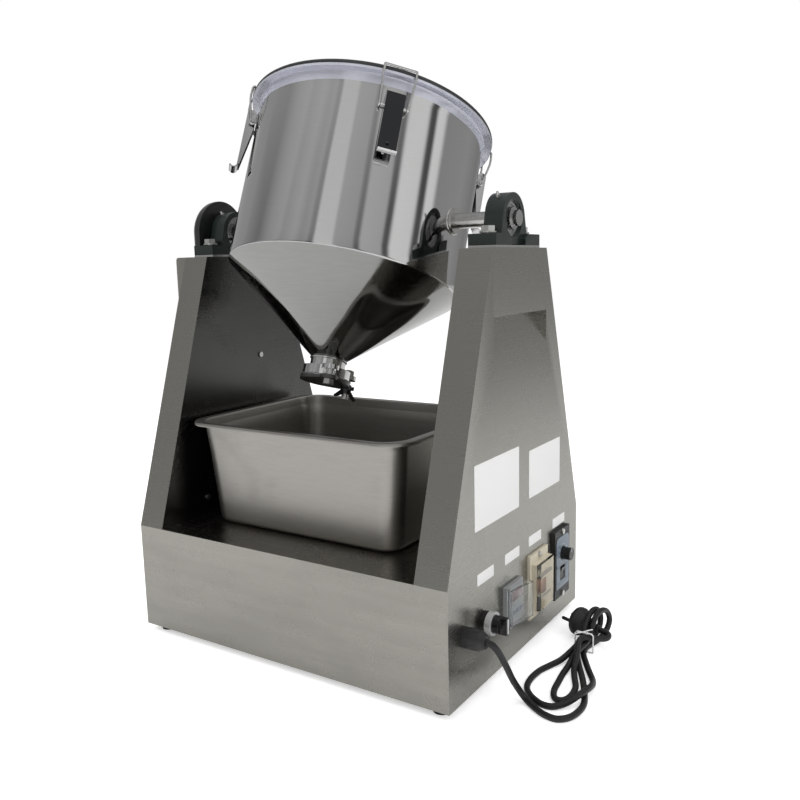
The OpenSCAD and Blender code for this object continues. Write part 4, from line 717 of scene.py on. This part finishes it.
class MIXER_OT_latches(MixerPiece, bpy.types.Operator):
    """Four toggle latches: brackets, levers and wire bails"""
    bl_idname = "mixer.latches"
    bl_label = "Latches"

    def build(self, sizes, colors):
        eased("latch_brackets", "latch_plates", 0.0003, "turned_steel", "turned_steel")
        flat_area = 2e-5
        for k, side in enumerate(("front", "right", "rear", "left")):
            angle = LATCH_TURN + k * pi / 2
            lever = eased(side + "_lever", side + "_lever_channel", 0.0004, "turned_steel", "lever_steel", 3)
            out = leaned(turned([1.0, 0, 0], angle)) - [0, 0, AXIS_Z]
            # The outward flat faces of each lever get the near-black metal as a painted dark reflection
            second_finish(lever, "lever_face_painted_reflection", lambda f: np.array(f.normal) @ out > 0.8 and f.area > flat_area)
            parts = [(leaned(turned(p, angle)), f) for p, f in self.bail()]
            settle(add_piece(side + "_bail_wire", parts), "turned_steel", "wire_steel", None, side + "_bail")

    @staticmethod
    def bail():
        """A wire from eye to eye: up the drum, over the lid's edge and across, with a ring at each end."""
        gap, hook = 0.0063, radians(50)
        half = [[0.1675, 0.018, 0.106], [0.1733, 0.0205, 0.132], [0.1733, 0.0205, 0.1468]]
        half += [[0.167 + gap * cos(a), 0.0205, 0.1468 + gap * sin(a)] for a in (0.4 * hook, 0.8 * hook)]
        half += [[0.167 + gap * cos(hook), 0.0205 - y, 0.1468 + gap * sin(hook)] for y in (0.0012, 0.0048)]
        half = np.array(half)
        path = np.concatenate([half, (half * [1, -1, 1])[::-1]])
        wire, eye = 0.0015, 0.0035
        parts = [sweep(spline(path, 4), wire, 14)]
        t = np.linspace(0, 2 * pi, 40, endpoint=False)
        u = np.linspace(0, 2 * pi, 12, endpoint=False)
        out = np.stack([np.cos(t), 0 * t, np.sin(t)], -1)
        section = out[:, None] * np.cos(u)[:, None] + np.array([0, 1.0, 0]) * np.sin(u)[:, None]
        for s in (-1, 1):
            ring = np.array([0.1645, s * 0.018, 0.103]) + eye * out
            parts.append((ring[:, None] + wire * section, grid_faces(40, 12)))
        return parts


class MIXER_OT_tray(MixerPiece, bpy.types.Operator):
    """Pressed tray: rings of a rounded rectangle that follow the wall's outline over the rolled rim"""
    bl_idname = "mixer.tray"
    bl_label = "Tray"

    def build(self, sizes, colors):
        wide, deep, tall, rim, wall = 0.366, 0.288, 0.150, 0.013, 0.0012
        taper, floor_r, corner_r, fall, roll = 0.014, 0.010, 0.046, 0.0045, 0.003
        line = []
        for a in np.radians(np.linspace(0, 90, 9)):
            line.append([-taper + wall - (floor_r + wall) * (1 - sin(a)), (floor_r + wall) * (1 - cos(a))])
        low, high = 0.011, tall - 0.016
        up = np.linspace(0.1, 1, 10)
        line += [[-taper + wall + (taper - 0.003) * k, low + (high - low) * k] for k in up]
        line += [[wall + 0.0006, tall - 0.0026], [rim - 0.0014, tall - 0.0014], [rim - 0.001, tall - fall]]
        line += [[rim, tall - fall]]
        quarter = np.radians(np.linspace(0, 90, 7))
        line += [[rim - roll * (1 - cos(a)), tall - roll * (1 - sin(a))] for a in quarter]
        line += [[roll * (1 - sin(a)), tall - roll * (1 - cos(a))] for a in quarter]
        drop = tall - roll - wall - floor_r
        line += [[-taper * k, tall - roll - drop * k] for k in np.linspace(0.05, 0.97, 10)]
        bend = np.radians(np.linspace(90, 0, 8))
        line += [[-taper - floor_r * (1 - sin(a)), wall + floor_r * (1 - cos(a))] for a in bend]
        line = np.array(line)
        t = np.radians(np.arange(0, 90.1, 5))
        rings = []
        for o, z in line:
            w, d = wide / 2 - rim + o, deep / 2 - rim + o
            r = corner_r - rim + 0.6 * o
            ring = []
            for sx, sy, q in [(1, 1, 0), (-1, 1, 90), (-1, -1, 180), (1, -1, 270)]:
                x, y = sx * (w - r) + r * np.cos(t + radians(q)), sy * (d - r) + r * np.sin(t + radians(q))
                ring.append(np.stack([x, y], -1))
            ring = np.concatenate(ring)
            rings.append(np.column_stack([ring, np.full(len(ring), z)]))
        grid = np.array(rings) + [-0.016, -0.013, 0.16005]
        faces = tube_faces(len(grid), grid.shape[1])
        settle(add_piece("tray_pressing", [(grid, faces)], 40), "tray_steel", "tray_sheet", None, "tray")


LABELS = [
    ("label_selector", -0.1039, 0.1483, 0.0437, 0.0145), ("label_timer", -0.0285, 0.150, 0.043, 0.014),
    ("label_relay", 0.0435, 0.152, 0.041, 0.014), ("label_speed", 0.127, 0.154, 0.044, 0.014),
    ("sticker_front", -0.0695, 0.2498, 0.123, 0.0805), ("sticker_rear", 0.0763, 0.2445, 0.1055, 0.065),
]


class MIXER_OT_controls(MixerPiece, bpy.types.Operator):
    """Selector, timer, relay and speed controller on the right cover, with the blank stickers"""
    bl_idname = "mixer.controls"
    bl_label = "Controls"

    def build(self, sizes, colors):
        edge, thin_edge, bezel_x, timer_x = 0.0005, 0.0002, 0.2615, 0.2575
        for node, name, slot, look in (
            ("selector_bezel", "selector_ring", "selector_chrome", "satin_ring"),
            ("selector_knob", "selector_grip", "knob_black", "knob_black"),
            ("timer", "timer_case", "timer_black", "timer_plastic"),
            ("relay", "relay_case", "relay_beige", "relay_beige"),
            ("speed_controller", "controller_case", "black_plastic", "black_plastic"),
            ("speed_knob", "speed_grip", "knob_black", "knob_black"),
            ("run_rocker", "rocker_key", "knob_black", "knob_black"),
            ("cable_gland", "gland_nut", "black_plastic", "black_plastic"),
        ):
            piece = eased(node, name, edge, slot, look)
            if node == "selector_bezel":
                second_finish(piece, "knob_black", lambda face: face.center.x < bezel_x)
            if node == "timer":
                second_finish(piece, "timer_grey", lambda face: face.center.x > timer_x)
        for node, name, slot, look in (
            ("timer_cover", "timer_flap", "clear_plastic", "clear_flap"),
            ("relay_cover", "relay_window", "relay_clear", "clear_cover"),
        ):
            eased(node, name, thin_edge, slot, look)
        for name, y, z, w, h in LABELS:
            grid, faces = plate(rounded_outline(w, h, 0.0015), sizes.label_thick, 0.0001)
            settle(add_piece(name, [(on_side(grid, y, z, COVER_X), faces)]), "tie_white", "label_white", "frame")
        self.details()

    @staticmethod
    def details():
        """Small faces of the controls: display, keys, scale marks and the knobs' pointers."""
        def face(name, look, slot, items, body="frame"):
            parts = []
            for y, z, w, h, x, t, tilt in items:
                grid, faces = plate(rounded_outline(w, h, min(w, h) * 0.18, 4), t, t * 0.4)
                parts.append((on_side(grid, y, z, x, tilt), faces))
            settle(add_piece(name, parts), slot, look, body)
        face("timer_face", "timer_grey", "timer_black", [(-0.031, 0.088, 0.0425, 0.044, 0.26, 0.0002, 0)])
        panel_x, key_gap = 0.2608, 0.028 / 3
        face("timer_display", "display_red", "timer_black", [(-0.028, 0.0985, 0.034, 0.013, panel_x, 0.0005, 0)])
        keys = [(-0.042 + k * key_gap, 0.076, 0.0076, 0.0056, panel_x, 0.0005, 0) for k in range(4)]
        face("timer_keys", "timer_key", "timer_black", keys)
        face("controller_plate", "controller_face", "black_plastic", [
            (y, z, w, h, 0.2616, 0.0002, 0) for y, z, w, h in (
                (0.128, 0.1095, 0.0465, 0.0445), (0.128, 0.0605, 0.0465, 0.0105),
                (0.1115, 0.0767, 0.0135, 0.0225), (0.1445, 0.0767, 0.0135, 0.0225),
            )
        ])
        marks, scale_r = [], 0.0135
        for k in range(11):
            a = radians(240 - 30 * k)
            y, z = 0.128 + scale_r * cos(a), 0.106 + scale_r * sin(a)
            marks.append((y, z, 0.0008, 0.0028, 0.2618, 0.0001, a - pi / 2))
        face("controller_marks", "scale_white", "tie_white", marks)
        for name, item, body in (
            ("speed_pointer", (0.128, 0.112, 0.0011, 0.006, 0.2753, 0.0002, 0), "speed_knob"),
            ("selector_pointer", (-0.109, 0.091, 0.0024, 0.0185, 0.2873, 0.0003, 0), "selector_knob"),
        ):
            face(name, "scale_white", "tie_white", [item], body)
        face("relay_marks", "relay_parts", "relay_beige", [
            (0.051, 0.104, 0.036, 0.006, 0.266, 0.0008, 0), (0.051, 0.0735, 0.03, 0.0035, 0.266, 0.0006, 0),
        ])
        face("relay_coil", "coil_copper", "relay_beige", [(0.0415, 0.088, 0.014, 0.02, 0.266, 0.0022, 0)])


LEAD = [
    (256, -157, 90), (283, -157, 90), (293, -152, 82), (298, -140, 60), (300, -124, 34), (303, -113, 17),
    (309, -111, 8), (318, -115, 4.2), (330, -123, 4), (344, -130, 4), (360, -131, 4), (372, -117, 4),
    (375, -90, 4), (367, -63, 4), (352, -29, 4), (334, 5, 4), (323, 28, 4.7), (318, 46, 5.4),
]
HANK = [
    (318, 46, 5.4), (318, 59, 5.4), (319, 76, 4), (321, 96, 4.2), (322, 114, 9), (321, 124, 20),
    (319, 121, 32), (317, 108, 38), (316, 92, 36), (316, 77, 28), (317, 65, 17.5), (318, 56, 13.6),
    (318, 45, 13.4), (316, 24, 11), (310, 3, 6), (302, -15, 4), (296, -36, 4), (295, -60, 4), (299, -80, 4),
    (308, -94, 4), (320, -104, 4), (333, -110, 4), (346, -108, 4.4), (358, -96, 7), (367, -80, 12),
    (371, -64, 12.6), (370, -44, 9), (363, -24, 4.5), (351, -4, 4), (340, 15, 4), (330, 33, 4.7),
    (326, 46, 5.4), (326, 59, 5.4), (328, 76, 4), (331, 96, 4.2), (333, 116, 9), (333, 127, 20),
    (330, 124, 32), (327, 110, 38), (325, 94, 36), (325, 80, 27), (326, 68, 16.8), (326, 57, 13.5),
    (326, 45, 13.4), (325, 25, 13), (324, 10, 10.5), (324, -8, 5), (325, -28, 4), (328, -50, 4),
    (331, -70, 4), (336, -84, 4), (343, -91, 4), (351, -87, 4), (354, -75, 4), (353, -60, 4), (350, -48, 4),
    (343, -33, 4), (334, -12, 5.5), (331, 4, 14), (326, 21, 21), (322, 40, 21.8), (325, 49, 22),
    (333, 56, 20.5), (342, 65, 17.5), (348, 74, 16.5), (347, 81.5, 18), (340, 84.6, 19.6), (333, 86, 20),
]


class MIXER_OT_cord(MixerPiece, bpy.types.Operator):
    """Power cord from the gland to its plug, its white tie and the plug"""
    bl_idname = "mixer.cord"
    bl_label = "Power cord"

    def build(self, sizes, colors):
        path = spline(np.array(LEAD + HANK[1:]) / 1000, 6)
        sheath = add_piece("power_cord", [sweep(path, 0.004, sizes.cord_sides)])
        cord = settle(sheath, "cord_rubber", "cord_sheath", "frame", "cord_lead", "cord_hank")
        tie = eased("cord_tie", "cord_tie_band", 0.0002, "tie_white", "tie_white")
        plug = eased("plug", "plug_body", 0.0008, "black_plastic", "black_plastic", 3)


class MIXER_OT_stage(MixerPiece, bpy.types.Operator):
    """Pale floor, soft lamps, the studio around and the camera"""
    bl_idname = "mixer.stage"
    bl_label = "Stage"

    def build(self, sizes, colors):
        self.floor(colors)
        self.lamps()
        self.world(colors)
        self.camera()
        bpy.context.scene.view_settings.view_transform = "Standard"

    @staticmethod
    def floor(colors):
        grid = np.array([[-6, -6, 0], [6, -6, 0], [6, 6, 0], [-6, 6, 0]], float)
        floor = add_piece("floor", [(grid, [[0, 1, 2, 3]])])
        material = bpy.data.materials.new("floor_pale")
        material.use_nodes = True
        tree = material.node_tree
        bsdf = tree.nodes["Principled BSDF"]
        bsdf.inputs["Base Color"].default_value = (*colors.floor, 1)
        bsdf.inputs["Roughness"].default_value = 0.7
        path = tree.nodes.new("ShaderNodeLightPath")
        seen = maths(tree, "MULTIPLY", path.outputs["Is Camera Ray"], 0.5)
        bsdf.inputs["Emission Color"].default_value = (1, 1, 1, 1)
        tree.links.new(seen, bsdf.inputs["Emission Strength"])
        floor.data.materials.append(material)

    @staticmethod
    def lamps():
        for name, place, size, energy in (
            ("key", (-1.6, -1.7, 2.3), 1.6, 34.0), ("fill", (2.3, -0.9, 1.8), 1.8, 26.0),
            ("top", (0.2, 0.6, 2.8), 2.2, 30.0),
        ):
            light = bpy.data.lights.new(name, "AREA")
            light.size = size
            light.energy = energy
            lamp = bpy.data.objects.new(name, light)
            bpy.context.scene.collection.objects.link(lamp)
            at = np.array(place)
            back = at - [0, 0, 0.4]
            back = back / np.linalg.norm(back)
            right = np.cross([0, 0, 1], back)
            right /= np.linalg.norm(right)
            turn = Matrix(np.column_stack([right, np.cross(back, right), back]).tolist()).to_4x4()
            turn.translation = at
            lamp.matrix_world = turn
            lamp.visible_glossy = False

    @staticmethod
    def world(colors):
        """White to the eye and through glass; to metal, a studio of bright and dark panels."""
        world = bpy.data.worlds.new("studio")
        bpy.context.scene.world = world
        world.use_nodes = True
        tree = world.node_tree
        out = tree.nodes["World Output"]
        base = tree.nodes["Background"]
        base.inputs["Strength"].default_value = 1.0
        way = tree.nodes.new("ShaderNodeTexCoord").outputs["Generated"]
        split = tree.nodes.new("ShaderNodeSeparateXYZ")
        tree.links.new(way, split.inputs[0])
        azimuth = maths(tree, "ARCTAN2", split.outputs["Y"], split.outputs["X"])
        angle = maths(tree, "ADD", maths(tree, "MULTIPLY", azimuth, 0.5 / pi), 0.5)
        around = tree.nodes.new("ShaderNodeValToRGB")
        tree.links.new(angle, around.inputs[0])
        above = 0.62
        stops = [
            (0.0, 0.34), (0.06, 0.22), (0.10, 0.36), (0.135, 0.42), (0.15, 0.32), (0.19, 0.42),
            (0.215, 0.26), (0.235, 0.32), (0.245, 0.09), (0.254, 0.10), (0.262, 0.80), (0.315, 0.78),
            (0.322, 0.40), (0.375, 0.36), (0.384, 0.10), (0.392, 0.10), (0.40, 0.54), (0.455, 0.50),
            (0.462, 0.12), (0.472, 0.12), (0.482, 0.88), (0.53, 0.84), (0.54, 0.10), (0.552, 0.10),
            (0.56, 0.90), (0.578, 0.86), (0.59, 0.34), (0.68, 0.36), (0.75, 0.24), (0.90, 0.36),
        ]
        ramp = around.color_ramp
        for k, (at, level) in enumerate(stops):
            stop = ramp.elements[k] if k < 2 else ramp.elements.new(at)
            stop.position = at
            stop.color = (level, level, level, 1)
        height = tree.nodes.new("ShaderNodeMapRange")
        height.inputs["From Min"].default_value = 0.45
        height.inputs["From Max"].default_value = 0.95
        tree.links.new(split.outputs["Z"], height.inputs["Value"])
        mixed = tree.nodes.new("ShaderNodeMix")
        mixed.data_type = "RGBA"
        mixed.inputs["B"].default_value = (above, above, above, 1)
        tree.links.new(height.outputs[0], mixed.inputs["Factor"])
        tree.links.new(around.outputs[0], mixed.inputs["A"])
        tree.links.new(mixed.outputs["Result"], base.inputs["Color"])
        path = tree.nodes.new("ShaderNodeLightPath")
        even = tree.nodes.new("ShaderNodeBackground")
        even.inputs["Color"].default_value = (1, 1, 1, 1)
        even.inputs["Strength"].default_value = colors.surround
        white = tree.nodes.new("ShaderNodeBackground")
        white.inputs["Color"].default_value = (1, 1, 1, 1)
        first = tree.nodes.new("ShaderNodeMixShader")
        tree.links.new(path.outputs["Is Glossy Ray"], first.inputs[0])
        tree.links.new(even.outputs[0], first.inputs[1])
        tree.links.new(base.outputs[0], first.inputs[2])
        second = tree.nodes.new("ShaderNodeMixShader")
        seen = maths(tree, "MAXIMUM", path.outputs["Is Camera Ray"], path.outputs["Is Transmission Ray"])
        tree.links.new(seen, second.inputs[0])
        tree.links.new(first.outputs[0], second.inputs[1])
        tree.links.new(white.outputs[0], second.inputs[2])
        tree.links.new(second.outputs[0], out.inputs["Surface"])

    @staticmethod
    def camera():
        """The photograph's place, direction and roll, worked out from the stand's corners."""
        az, el, roll = radians(32.944), radians(9.273), radians(-1.339)
        back = np.array([sin(az) * cos(el), -cos(az) * cos(el), sin(el)])
        right = np.cross([0, 0, 1], back)
        right /= np.linalg.norm(right)
        up = np.cross(back, right)
        right, up = cos(roll) * right + sin(roll) * up, -sin(roll) * right + cos(roll) * up
        data = bpy.data.cameras.new("photo_camera")
        data.lens = 37.57
        data.sensor_width = 36
        data.clip_start = 0.01
        camera = bpy.data.objects.new("photo_camera", data)
        bpy.context.scene.collection.objects.link(camera)
        turn = Matrix(np.column_stack([right, up, back]).tolist()).to_4x4()
        turn.translation = (0.6978, -0.9693, 0.5246)
        camera.matrix_world = turn
        bpy.context.scene.camera = camera


class MIXER_PT_looks(bpy.types.Panel):
    """Lists the operators and the values that they read"""
    bl_label = "Powder mixer"
    bl_idname = "MIXER_PT_looks"
    bl_space_type = "VIEW_3D"
    bl_region_type = "UI"
    bl_category = "Mixer"

    def draw(self, context):
        for group in (context.scene.mixer_sizes, context.scene.mixer_colors):
            for key in group.__annotations__:
                self.layout.prop(group, key)
        for operator in OPERATORS:
            self.layout.operator(operator.bl_idname)


OPERATORS = (
    MIXER_OT_cord, MIXER_OT_frame, MIXER_OT_bearings, MIXER_OT_drive, MIXER_OT_drum, MIXER_OT_lid,
    MIXER_OT_latches, MIXER_OT_tray, MIXER_OT_controls, MIXER_OT_stage,
)
CLASSES = (MixerSizes, MixerColors, *OPERATORS, MIXER_PT_looks)


def register():
    for cls in CLASSES:
        bpy.utils.register_class(cls)
    bpy.types.Scene.mixer_sizes = bpy.props.PointerProperty(type=MixerSizes)
    bpy.types.Scene.mixer_colors = bpy.props.PointerProperty(type=MixerColors)


def unregister():
    del bpy.types.Scene.mixer_colors
    del bpy.types.Scene.mixer_sizes
    for cls in reversed(CLASSES):
        bpy.utils.unregister_class(cls)


def main():
    register()
    bpy.ops.mixer.cord()
    bpy.ops.mixer.stand()
    bpy.ops.mixer.bearings()
    bpy.ops.mixer.drive()
    bpy.ops.mixer.drum()
    bpy.ops.mixer.lid()
    bpy.ops.mixer.latches()
    bpy.ops.mixer.tray()
    bpy.ops.mixer.controls()
    bpy.ops.mixer.stage()
    bpy.context.view_layer.update()


if __name__ == "__main__":
    main()
